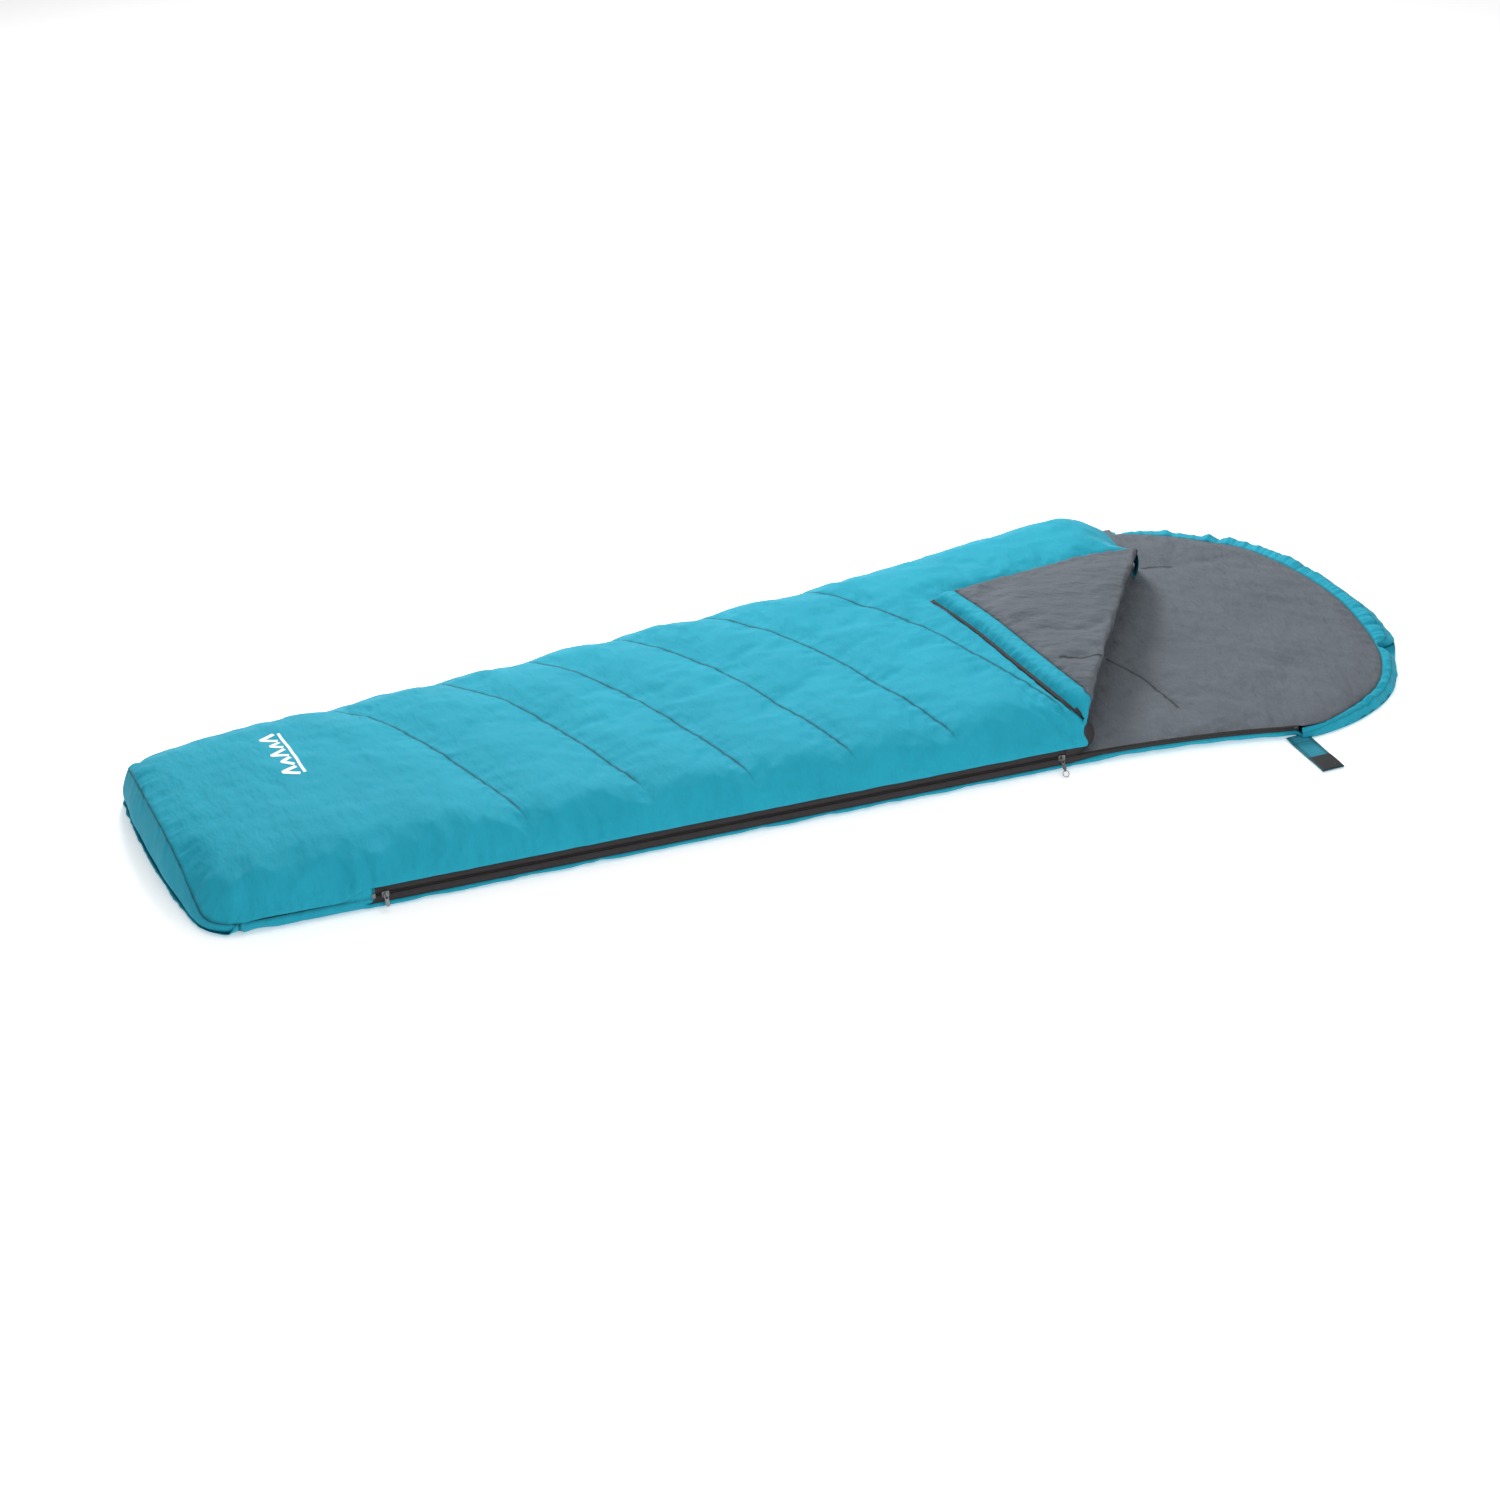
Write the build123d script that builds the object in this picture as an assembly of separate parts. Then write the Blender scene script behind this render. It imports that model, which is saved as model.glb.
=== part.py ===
from build123d import *
import math
import os

# Hooded, tapered sleeping bag lying on its back, in millimetres.
# +X runs from the foot to the hood, +Y is the side with no zip, +Z is up.
# The origin is on the underside, on the centre line, half way along the bag.

# Plan outline, the same on both sides of the centre line
FOOT_X = -1119.0
FOOT_BLEND_X = -1052.0
FOOT_CORNER = (-1108.0, 172.5)
FOOT_PANEL_X = -1046.0
CHEST_X = 330.0
CHEST_HALF = 305.0
SIDE_SLOPE = 0.0579
HOOD_X = 790.0
HOOD_HALF = 384.0
HOOD_DEPTH = 310.0
SHOULDER = [(500.0, 322.5), (660.0, 353.5), (725.0, 371.0)]
# The far side is this much wider, and its shoulder starts sooner.
FAR_WIDER = 47.0
FAR_SHOULDER = [(400.0, 363.0), (480.0, 376.5), (560.0, 387.5), (640.0, 393.0), (685.0, 392.4), (725.0, 389.5)]

# Cloth is drawn thicker than it is, so that every layer is a real solid
CLOTH = 1.5
BATTING_GAP = 8.0

# Heights of the layers
FLOOR_TOP = CLOTH
BOTTOM_SEAM_Z = 14.0
FOOT_SEAM_Z = 21.0
BOTTOM_BATTING_TOP = 22.0
TOP_LINING_Z = 48.0
NEAR_RIM_Z = 36.0
FAR_RIM_Z = 14.0
CROWN_Z = 95.0
FOOT_CROWN_Z = 84.0
NEAR_ROLL = 45.0
FAR_ROLL = 22.0
FOOT_RISE = 220.0
SKIRT = 4.0
NEAR_SKIRT_FALL = 1.6
FAR_SKIRT_FALL = 2.2
CROSS_STEPS = [0.0, 10.0, 22.0, 45.0, 90.0, 160.0]
FOOT_PAD = 9.0

# Long zip on the near side
ZIP_START_X = -845.0
ZIP_MIDDLE_Z = 25.0
TAPE_GAP = 1.0
TAPE_OUT = 1.8
TAPE_IN = 3.0
COIL_OUT = -0.4
COIL_HEIGHT = 2.5
LOWER_TAPE_END_X = 750.0
UPPER_TAPE_END_X = 345.0
STOP_HALF = 3.0
STOP_OVER = 1.2
STOP_BEYOND = 1.5
BOTTOM_STOP_FROM_START = 4.0
HOOD_STOP_X = (738.0, 744.0)

# Corner of the cover that is folded back
FOLD_X = 390.0
FOLD_Y = -290.0
FOLD_ANGLE = 52.7
FOLD_LENGTH = 591.0
FOLD_NEAR_Z = 62.0
FOLD_FAR_Z = 99.0
FOLD_GAP = 6.0
FLAP_START = 2.0
NECK_FAR = (805.0, 430.0)
FLAP_ZIP_EDGE = [(366.0, -215.0), (354.0, -100.0), (344.0, 30.0)]
FLAP_CORNER = (325.0, 150.0)
FLAP_UNDER = 2.0
FLAP_THICK = 16.0
FACING_WIDTH = 38.0
FLAP_TAPE_WIDTH = 9.0
FLAP_TAPE_SEWN = 5.0
FLAP_COIL_WIDTH = 3.0
FLAP_TAPE_FROM = 0.8
FLAP_TAPE_TO = 1.9
FLAP_COIL_TO = 4.2
FLAP_STOP_REACH = 9.0
LOOP_PATCH_X = (360.0, 400.0)
LOOP_PATCH_Y = (100.0, 135.0)
ZIP_EDGE_SKEW = 0.1

# Hood hem and its draw elastic
HEM_DEPTH = 48.0
HEM_TOP = 20.0
HEM_START_X = 795.0
HEM_WALL = 2.0
ELASTIC_R = 1.5
ELASTIC_INSET = 4.0
ELASTIC_Z = 10.0
ELASTIC_END = 68.0

# Sliders, pulls and ring
UPPER_SLIDER_X = 335.0
LOWER_SLIDER_X = -822.0
SLIDER_LONG = 12.0
SLIDER_HIGH = 11.0
PLATE = 1.1
FRONT_PLATE_N = 0.8
BACK_PLATE_N = -3.4
FLANGE_N = -1.4
WEB = 0.5
BAIL_HALF = 4.2
BAIL_OUT = 4.4
BAIL_BAR = 1.3
BAIL_WIDE = 2.0
PULL_AXIS_OUT = 1.6
PULL_LEAN = 40.0
PULL_WIDE = 6.4
PULL_THICK = 1.2
PULL_BAR = 1.4
PULL_WINDOW = 6.5
PULL_LONG = 19.0
EYE_R = 1.7
EYE_HOLE_R = 0.95
EYE_LONG = 3.0
RING_R = 5.4
RING_WIRE_R = 0.6

# Closure tab at the hood
TAB_X = 748.0
TAB_WIDE = 42.0
TAB_ROOT_Y = -392.0
TAB_END_Y = -490.0
TAB_Z = 1.0
HOOK_LONG = 48.0
TAB_ROOT_LONG = 20.0
SEWN_GAP = 0.4
BAR_TACK_X = (738.0, 764.0)
BAR_TACK_Y = (-372.0, -366.0)
BAR_TACK_HIGH = 1.2

# Limits of the blocks that other shapes are cut with
FAR_AWAY = 1500.0
DEEP = -60.0
HIGH = 200.0
ABOVE_TRAY = 30.0
SIDE_ANGLE = math.degrees(math.atan(SIDE_SLOPE))


def side_half(x):
    """Half width of the bag on its straight sides."""
    return CHEST_HALF + SIDE_SLOPE * (x - CHEST_X)


def side_width(x, far):
    """How far one side is from the centre line, straight between the outline's own points."""
    wider = FAR_WIDER if far else 0.0
    if x <= CHEST_X:
        return side_half(x) + wider
    shoulder = FAR_SHOULDER if far else SHOULDER
    points = [(CHEST_X, CHEST_HALF + wider), *shoulder, (HOOD_X, HOOD_HALF)]
    for (x0, y0), (x1, y1) in zip(points, points[1:]):
        if x <= x1:
            return y0 + (y1 - y0) * (x - x0) / (x1 - x0)
    return HOOD_HALF


def outline(inset=0.0, hood_depth=HOOD_DEPTH):
    """The bag seen from above, with every edge moved in by inset."""
    foot_half = side_half(FOOT_BLEND_X) - inset
    chest = CHEST_HALF - inset
    hood = HOOD_HALF - inset
    near_shoulder = [(x, inset - y) for x, y in SHOULDER]
    far_shoulder = [(x, y - inset) for x, y in FAR_SHOULDER]
    corner_x, corner_y = FOOT_CORNER[0] + inset, FOOT_CORNER[1]
    far_foot, far_chest, far_corner = foot_half + FAR_WIDER, chest + FAR_WIDER, corner_y + FAR_WIDER
    edges = [
        Line((FOOT_BLEND_X, -foot_half), (CHEST_X, -chest)),
        Spline(
            (CHEST_X, -chest),
            *near_shoulder,
            (HOOD_X, -hood),
            tangents=[(1, -SIDE_SLOPE), (1, 0)],
        ),
        EllipticalCenterArc((HOOD_X, 0), hood_depth - inset, hood, start_angle=-90, arc_size=180),
        Spline(
            (HOOD_X, hood),
            *reversed(far_shoulder),
            (CHEST_X, far_chest),
            tangents=[(-1, 0), (-1, -SIDE_SLOPE)],
        ),
        Line((CHEST_X, far_chest), (FOOT_BLEND_X, far_foot)),
        TangentArc((FOOT_BLEND_X, far_foot), (corner_x, far_corner), tangent=(-1, -SIDE_SLOPE)),
        ThreePointArc((corner_x, far_corner), (FOOT_X + inset, FAR_WIDER / 2), (corner_x, -corner_y)),
        TangentArc((FOOT_BLEND_X, -foot_half), (corner_x, -corner_y), tangent=(-1, SIDE_SLOPE)),
    ]
    return make_face(edges)


def prism(face, low, high):
    """A plan face made into a solid between two heights."""
    return extrude(Pos(0, 0, low) * face, high - low)


def slab(x0, x1, y0, y1, z0, z1):
    """A box between three pairs of limits."""
    return Pos((x0 + x1) / 2, (y0 + y1) / 2, (z0 + z1) / 2) * Box(x1 - x0, y1 - y0, z1 - z0)


def wall(outer, inner, low, high):
    """A strip that follows the outline, between two insets."""
    return prism(outline(outer), low, high) - prism(outline(inner), low, high)


def cover_points(x, grow):
    """The cover's surface across the bag at x, moved out by grow, from near to far."""
    share = min(1.0, max(0.0, (x - FOOT_X) / FOOT_RISE))
    crown = FOOT_CROWN_Z + (CROWN_Z - FOOT_CROWN_Z) * share
    half, far_half = side_width(x, False) + grow, side_width(x, True) + grow
    points = [(-half - SKIRT, NEAR_RIM_Z - NEAR_SKIRT_FALL * SKIRT + grow)]
    for d in CROSS_STEPS:
        rise = 1 - math.exp(-d / NEAR_ROLL)
        points.append((-half + d, NEAR_RIM_Z + (crown - NEAR_RIM_Z) * rise + grow))
    points.append((0.0, crown + grow))
    for d in reversed(CROSS_STEPS):
        rise = 1 - math.exp(-d / FAR_ROLL)
        points.append((far_half - d, FAR_RIM_Z + (crown - FAR_RIM_Z) * rise + grow))
    points.append((far_half + SKIRT, FAR_RIM_Z - FAR_SKIRT_FALL * SKIRT + grow))
    return points


def mound(grow, base=-40.0):
    """Everything under the cover's surface moved out by grow, down to base."""
    over = 20.0 - grow
    stations = [FOOT_X - over, FOOT_X + FOOT_RISE, CHEST_X]
    stations += sorted({x for x, _ in [*SHOULDER, *FAR_SHOULDER]})
    stations += [HOOD_X, HOOD_X + 120.0 + over]
    sections = []
    for x in stations:
        points = [(x, y, z) for y, z in cover_points(x, grow)]
        near, far = points[0], points[-1]
        low_near, low_far = (x, near[1], base), (x, far[1], base)
        edges = [Spline(*points), Line(far, low_far), Line(low_far, low_near), Line(low_near, near)]
        sections.append(Face(Wire(edges)))
    return loft(sections, ruled=True)


def fold_point(along, back=0.0):
    """A point on the fold line in plan, or behind it towards the foot."""
    a = math.radians(FOLD_ANGLE)
    x = FOLD_X + along * math.cos(a) - back * math.sin(a)
    y = FOLD_Y + along * math.sin(a) + back * math.cos(a)
    return (x, y)


def cover_plan():
    """What the flat part of the cover takes up in plan, up to the fold and the neck."""
    corners = [
        (-FAR_AWAY, -FAR_AWAY),
        fold_point(-400.0, FOLD_GAP),
        fold_point(FOLD_LENGTH, FOLD_GAP),
        NECK_FAR,
        (NECK_FAR[0], FAR_AWAY),
        (-FAR_AWAY, FAR_AWAY),
    ]
    return make_face(Polyline(*corners, close=True))


def zip_edge_point(point, out):
    """A point of the folded corner's zip edge, moved out towards the foot."""
    return (point[0] - out, point[1] - ZIP_EDGE_SKEW * out)


def flap_plan():
    """The folded corner in plan: its zip edge, its neck edge and the fold."""
    near = fold_point(FLAP_START, FOLD_GAP)
    far = fold_point(FOLD_LENGTH, FOLD_GAP)
    zip_edge = Spline(near, *FLAP_ZIP_EDGE, FLAP_CORNER)
    return make_face([zip_edge, Line(FLAP_CORNER, far), Line(far, near)])


def zip_strip(out_from, out_to):
    """A strip beside the folded corner's zip edge, in plan."""
    near = fold_point(FLAP_START, FOLD_GAP)
    ends = [near, *FLAP_ZIP_EDGE, FLAP_CORNER]
    inner = [zip_edge_point(p, out_from) for p in ends]
    outer = [zip_edge_point(p, out_to) for p in ends]
    edges = [
        Spline(*inner),
        Line(inner[-1], outer[-1]),
        Spline(*reversed(outer)),
        Line(outer[0], inner[0]),
    ]
    return make_face(edges)


def on_zip(x, shape):
    """Places a shape drawn at the zip: its X along the zip, its Y into the bag, its Z up."""
    return Pos(x, -side_half(x), ZIP_MIDDLE_Z) * Rot(0, 0, -SIDE_ANGLE) * shape


def slider_body():
    """A slider in its own place: two plates, a web between the coils and a bail."""
    half = SLIDER_HIGH / 2
    long = SLIDER_LONG / 2
    plate = extrude(Plane.XZ * RectangleRounded(SLIDER_LONG, SLIDER_HIGH, 2.2), PLATE)
    front = Pos(0, -FRONT_PLATE_N, 0) * plate
    back = Pos(0, -BACK_PLATE_N + PLATE, 0) * plate
    body = front + back
    body += slab(-long + 1, long - 3, -FRONT_PLATE_N, -BACK_PLATE_N, -WEB / 2, WEB / 2)
    for side in (-1, 1):
        z0, z1 = sorted((side * half, side * (half - 1.0)))
        body += slab(-long + 2.2, long - 2.2, -FRONT_PLATE_N - 0.5, -FLANGE_N, z0, z1)
    foot = -FRONT_PLATE_N - PLATE
    outer = Plane.YZ * (Pos(foot, 0) * Ellipse(BAIL_OUT, BAIL_HALF))
    inner = Plane.YZ * (Pos(foot, 0) * Ellipse(BAIL_OUT - BAIL_BAR, BAIL_HALF - BAIL_BAR))
    arch = extrude(outer - inner, BAIL_WIDE / 2, both=True)
    keep = slab(-5, 5, foot - 10, foot + 0.3, -10, 10)
    return body + (arch & keep)


def pull_axis():
    """How far in front of the zip's outline a pull's bar is."""
    return FRONT_PLATE_N + PLATE + PULL_AXIS_OUT


def hung(shape):
    """Leans a shape that hangs down from a pull's bar out from the bag."""
    return Pos(0, -pull_axis(), 0) * Rot(-PULL_LEAN, 0, 0) * shape


def pull_tab(with_eye):
    """A flat pull with a window for the bail, hanging from its bar."""
    end = -PULL_LONG
    plate = slab(-PULL_WIDE / 2, PULL_WIDE / 2, -PULL_THICK / 2, PULL_THICK / 2, end, PULL_BAR / 2)
    room = PULL_WIDE / 2 - PULL_BAR
    low = -PULL_BAR / 2 - PULL_WINDOW
    tab = plate - slab(-room, room, -5, 5, low, -PULL_BAR / 2)
    tab = fillet(tab.edges().filter_by(Axis.Y).group_by(Axis.Z)[0], 2.0)
    if with_eye:
        eye = Rot(0, 90, 0) * Cylinder(EYE_R, EYE_LONG)
        hole = Rot(0, 90, 0) * Cylinder(EYE_HOLE_R, EYE_LONG + 8)
        place = Pos(0, 0, end - EYE_R + 0.4)
        tab = (tab + place * eye) - place * hole
    return tab


def ring():
    """The wire ring that hangs in the eye of the upper pull."""
    top = -PULL_LONG - EYE_R + 0.4
    return Pos(0, 0, top - RING_R) * Rot(90, 0, 0) * Torus(RING_R, RING_WIRE_R)


def bottom_layers():
    """The under side of the bag: shell tray, batting and lining."""
    floor = prism(outline(), 0, FLOOR_TOP)
    rim = wall(0, CLOTH, FLOOR_TOP, BOTTOM_SEAM_Z)
    rim &= slab(FOOT_PANEL_X, FAR_AWAY, -FAR_AWAY, FAR_AWAY, 0, HIGH)
    foot_rim = wall(0, CLOTH, BOTTOM_SEAM_Z, FOOT_SEAM_Z)
    foot_rim &= slab(FOOT_PANEL_X, ZIP_START_X - 1, -FAR_AWAY, 0, 0, HIGH)
    hood_depth = HOOD_DEPTH - HEM_DEPTH + BATTING_GAP
    inside = outline(BATTING_GAP, hood_depth)
    lining_top = BOTTOM_BATTING_TOP + CLOTH
    return {
        "bottom_shell": floor + rim + foot_rim,
        "bottom_batting": prism(inside, FLOOR_TOP, BOTTOM_BATTING_TOP),
        "bottom_lining": prism(inside, BOTTOM_BATTING_TOP, lining_top),
    }


def cover_layers(outer, inner):
    """The cover over the body: shell, batting and lining, cut at the fold."""
    plan = prism(cover_plan(), DEEP, HIGH)
    trim = prism(outline(), DEEP, HIGH) & plan
    shell = (outer - inner) & trim
    shell -= slab(ZIP_START_X - 1, FAR_AWAY, -FAR_AWAY, 0, DEEP, NEAR_RIM_Z)
    shell -= slab(-FAR_AWAY, FAR_AWAY, 0, FAR_AWAY, DEEP, FAR_RIM_Z)
    shell -= slab(-FAR_AWAY, ZIP_START_X - 1, -FAR_AWAY, 0, DEEP, FOOT_SEAM_Z)
    side = wall(0, CLOTH, FOOT_SEAM_Z, NEAR_RIM_Z - 1)
    side &= slab(FOOT_PANEL_X, ZIP_START_X - 1, -FAR_AWAY, 0, 0, HIGH)
    filled = inner & prism(outline(CLOTH), DEEP, HIGH) & plan
    above = TOP_LINING_Z + CLOTH
    return {
        "top_shell": shell + side,
        "top_batting": filled & slab(-FAR_AWAY, FAR_AWAY, -FAR_AWAY, FAR_AWAY, above, HIGH),
        "top_lining": filled & slab(-FAR_AWAY, FAR_AWAY, -FAR_AWAY, FAR_AWAY, TOP_LINING_Z, above),
    }


def foot_layers(inner):
    """The gusset that closes the foot, with its batting and lining."""
    front = slab(-FAR_AWAY, FOOT_PANEL_X, -FAR_AWAY, FAR_AWAY, FLOOR_TOP, HIGH)
    gap_low = BOTTOM_BATTING_TOP + CLOTH
    foot = slab(-FAR_AWAY, FOOT_PANEL_X, -FAR_AWAY, FAR_AWAY, gap_low, TOP_LINING_Z)
    lining = wall(FOOT_PAD, FOOT_PAD + CLOTH, gap_low, TOP_LINING_Z)
    return {
        "foot_panel": wall(0, CLOTH, FLOOR_TOP, HIGH) & inner & front,
        "foot_batting": wall(CLOTH, FOOT_PAD, gap_low, TOP_LINING_Z) & foot & inner,
        "foot_lining": lining & foot & inner,
    }


def hood_pieces():
    """The gathered hem round the hood with the draw elastic inside it."""
    outer = prism(outline(CLOTH), FLOOR_TOP, HEM_TOP)
    hem_inset = CLOTH + HEM_WALL
    inner = prism(outline(hem_inset, HOOD_DEPTH - HEM_DEPTH + hem_inset), 0, HIGH)
    hem = outer - inner
    hem &= slab(HEM_START_X, FAR_AWAY, -FAR_AWAY, FAR_AWAY, 0, HIGH)
    depth = HOOD_DEPTH - HEM_DEPTH / 2
    turn = {"start_angle": -ELASTIC_END, "arc_size": 2 * ELASTIC_END}
    path = EllipticalCenterArc((HOOD_X, 0), depth, HOOD_HALF - ELASTIC_INSET, **turn)
    path = Pos(0, 0, ELASTIC_Z) * path
    elastic = sweep(Plane(path @ 0, z_dir=path % 0) * Circle(ELASTIC_R), path)
    return {"hood_hem": hem - elastic, "hood_elastic": elastic}


def zip_pieces():
    """The tapes, the coils and the stops of the long zip."""
    middle = TAPE_GAP / 2
    low_top = ZIP_MIDDLE_Z - middle
    high_low = ZIP_MIDDLE_Z + middle
    lower = slab(ZIP_START_X, LOWER_TAPE_END_X, -FAR_AWAY, 0, 0, HIGH)
    upper = slab(ZIP_START_X, UPPER_TAPE_END_X, -FAR_AWAY, 0, 0, HIGH)
    stop_half_z = COIL_HEIGHT + STOP_BEYOND
    stop_out = COIL_OUT - STOP_OVER
    stop = slab(-STOP_HALF, STOP_HALF, stop_out, COIL_OUT, -stop_half_z, stop_half_z)
    tape_stop = wall(stop_out, COIL_OUT, low_top - COIL_HEIGHT, low_top)
    return {
        "lower_tape": wall(TAPE_OUT, TAPE_IN, BOTTOM_SEAM_Z, low_top) & lower,
        "upper_tape": wall(TAPE_OUT, TAPE_IN, high_low, NEAR_RIM_Z) & upper,
        "lower_coil": wall(COIL_OUT, TAPE_OUT, low_top - COIL_HEIGHT, low_top) & lower,
        "upper_coil": wall(COIL_OUT, TAPE_OUT, high_low, high_low + COIL_HEIGHT) & upper,
        "zip_bottom_stop": on_zip(ZIP_START_X + BOTTOM_STOP_FROM_START, stop),
        "hood_end_stop": tape_stop & slab(*HOOD_STOP_X, -FAR_AWAY, 0, 0, HIGH),
    }


def flap_pieces():
    """The corner of the cover that is folded back, with its own zip tape."""
    top = FLAP_UNDER + FLAP_THICK
    shell_top = FLAP_UNDER + CLOTH
    steps = [FLAP_TAPE_FROM, FLAP_TAPE_TO, FLAP_UNDER, shell_top, FLAP_COIL_TO, top - CLOTH, top]
    mounds = {step: mound(step) for step in steps}

    def layer(plan, low, high):
        body = prism(plan, ABOVE_TRAY, HIGH)
        return (mounds[high] & body) - mounds[low]

    plan = flap_plan()
    band = prism(zip_strip(-FACING_WIDTH, FLAP_TAPE_SEWN), ABOVE_TRAY, HIGH)
    face = layer(plan, top - CLOTH, top)
    behind = prism(cover_plan(), ABOVE_TRAY, HIGH)
    tape = layer(zip_strip(-FLAP_TAPE_SEWN, FLAP_TAPE_WIDTH), FLAP_TAPE_FROM, FLAP_TAPE_TO)
    coil_in = FLAP_TAPE_WIDTH - FLAP_COIL_WIDTH
    coil = layer(zip_strip(coil_in, FLAP_TAPE_WIDTH), FLAP_UNDER, FLAP_COIL_TO)
    stop_y = FLAP_CORNER[1] - FLAP_STOP_REACH
    stop_zone = slab(-FAR_AWAY, FAR_AWAY, stop_y, FAR_AWAY, 0, HIGH)
    (x0, x1), (y0, y1) = LOOP_PATCH_X, LOOP_PATCH_Y
    patch = make_face(Polyline((x0, y0), (x1, y0), (x1, y1), (x0, y1), close=True))
    return {
        "flap_shell": layer(plan, FLAP_UNDER, shell_top),
        "flap_batting": layer(plan, shell_top, top - CLOTH),
        "flap_lining": face - band,
        "flap_facing": face & band,
        "flap_tape": tape & behind,
        "flap_coil": (coil & behind) - stop_zone,
        "flap_top_stop": coil & stop_zone,
        "loop_patch": layer(patch, FLAP_TAPE_FROM, FLAP_TAPE_TO),
    }


def slider_pieces():
    """Both sliders with their pulls, and the upper pull's ring."""
    return {
        "upper_slider_body": on_zip(UPPER_SLIDER_X, slider_body()),
        "upper_pull_tab": on_zip(UPPER_SLIDER_X, hung(pull_tab(True))),
        "upper_pull_ring": on_zip(UPPER_SLIDER_X, hung(ring())),
        "lower_slider_body": on_zip(LOWER_SLIDER_X, slider_body()),
        "lower_pull_tab": on_zip(LOWER_SLIDER_X, hung(pull_tab(False))),
    }


def tab_pieces():
    """The closure tab: its sewn root, strap, hook patch and bar tack."""
    x0, x1 = TAB_X - TAB_WIDE / 2, TAB_X + TAB_WIDE / 2
    top = TAB_Z + CLOTH
    root = slab(x0, x1, TAB_ROOT_Y + SEWN_GAP, TAB_ROOT_Y + TAB_ROOT_LONG, TAB_Z, top)
    tack_z = BOTTOM_BATTING_TOP + CLOTH
    return {
        "tab_root": root - prism(outline(), DEEP, HIGH),
        "tab_strap": slab(x0, x1, TAB_END_Y, TAB_ROOT_Y, TAB_Z, top),
        "hook_patch": slab(x0, x1, TAB_END_Y, TAB_END_Y + HOOK_LONG, top, top + CLOTH),
        "bar_tack": slab(*BAR_TACK_X, *BAR_TACK_Y, tack_z, tack_z + BAR_TACK_HIGH),
    }


def main():
    os.makedirs("parts", exist_ok=True)
    outer = mound(0.0)
    inner = mound(-CLOTH)
    nodes = {}
    nodes.update(bottom_layers())
    nodes.update(cover_layers(outer, inner))
    nodes.update(foot_layers(inner))
    nodes.update(hood_pieces())
    nodes.update(zip_pieces())
    nodes.update(flap_pieces())
    nodes.update(slider_pieces())
    nodes.update(tab_pieces())
    for name, shape in nodes.items():
        solids = shape.solids()
        export_step(Compound(children=list(solids)), f"parts/{name}.step")
        print(name, len(solids), "solid, volume", round(sum(s.volume for s in solids)))
    print("fold hinge from", (FOLD_X, FOLD_Y, FOLD_NEAR_Z))
    print("fold hinge to", (*fold_point(FOLD_LENGTH), FOLD_FAR_Z))


main()
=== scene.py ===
import math

import bpy
import numpy as np
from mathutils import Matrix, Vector, kdtree, noise
from mathutils.bvhtree import BVHTree
from mathutils.geometry import delaunay_2d_cdt


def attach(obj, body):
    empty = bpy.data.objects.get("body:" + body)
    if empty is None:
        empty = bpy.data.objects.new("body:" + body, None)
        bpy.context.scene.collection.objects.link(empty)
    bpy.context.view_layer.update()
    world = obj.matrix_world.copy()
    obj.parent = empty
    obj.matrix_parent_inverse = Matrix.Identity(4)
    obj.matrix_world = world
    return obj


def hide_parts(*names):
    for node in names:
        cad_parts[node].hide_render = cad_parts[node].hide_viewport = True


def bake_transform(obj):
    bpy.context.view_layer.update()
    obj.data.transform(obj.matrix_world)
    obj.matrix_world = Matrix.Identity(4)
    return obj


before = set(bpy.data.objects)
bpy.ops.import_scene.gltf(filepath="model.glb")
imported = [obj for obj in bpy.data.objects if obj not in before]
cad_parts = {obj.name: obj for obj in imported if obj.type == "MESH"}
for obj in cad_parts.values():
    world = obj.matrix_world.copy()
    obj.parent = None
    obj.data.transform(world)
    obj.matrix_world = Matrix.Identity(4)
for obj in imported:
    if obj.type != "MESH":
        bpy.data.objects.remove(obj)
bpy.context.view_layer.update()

# Shapes are worked out in millimetres in the shared frame, and become metres as meshes are made.
MM = 0.001

# ---------------------------------------------------------------- the bag's own lines
FOOT_BLEND_X, FOOT_TIP_X, FOOT_CORNER_X, FOOT_CORNER_Y = -1052.0, -1119.0, -1108.0, 172.5
CORNER_CX, CORNER_CY, CORNER_R = -1048.5, 165.2, 60.0
CHEST_X, CHEST_HALF, SIDE_SLOPE = 330.0, 305.0, 0.0579
ZIP_START_X, TAPE_END_X = -845.0, 750.0
FOLD_N = np.array([390.0, -290.0])
FOLD_ANGLE = math.radians(52.7)
FOLD_ALONG = np.array([math.cos(FOLD_ANGLE), math.sin(FOLD_ANGLE)])
FOLD_BACK = np.array([-math.sin(FOLD_ANGLE), math.cos(FOLD_ANGLE)])
FOLD_LENGTH, FOLD_GAP = 591.0, 6.0
F_POINT = FOLD_N + FOLD_LENGTH * FOLD_ALONG + FOLD_GAP * FOLD_BACK
NECK_FAR = np.array([797.0, 383.5])
ZIP_EDGE = [(366.0, -215.0), (354.0, -100.0), (344.0, 30.0), (325.0, 150.0)]
SHOULDER = [(330.0, 305.0), (500.0, 322.5), (660.0, 353.5), (725.0, 371.0), (790.0, 384.0)]
FAR_WIDER = 47.0
FAR_SHOULDER = [
    (330.0, 352.0), (400.0, 363.0), (480.0, 376.5), (560.0, 387.5), (640.0, 393.0), (685.0, 392.4),
    (725.0, 389.5), (790.0, 384.0),
]
FAR_ROLL = 30.0
LINING_Z, MOUTH_Z, BEFORE_ZIP_Z = 23.5, 48.0, 22.0
FOOT_LEAN, FOOT_SEAM_TOP = 13.0, 85.0
TAB_X0, TAB_X1, TAB_FOLD_Y = 727.0, 769.0, -392.0


def smooth(t):
    t = np.clip(t, 0.0, 1.0)
    return t * t * (3 - 2 * t)


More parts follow.
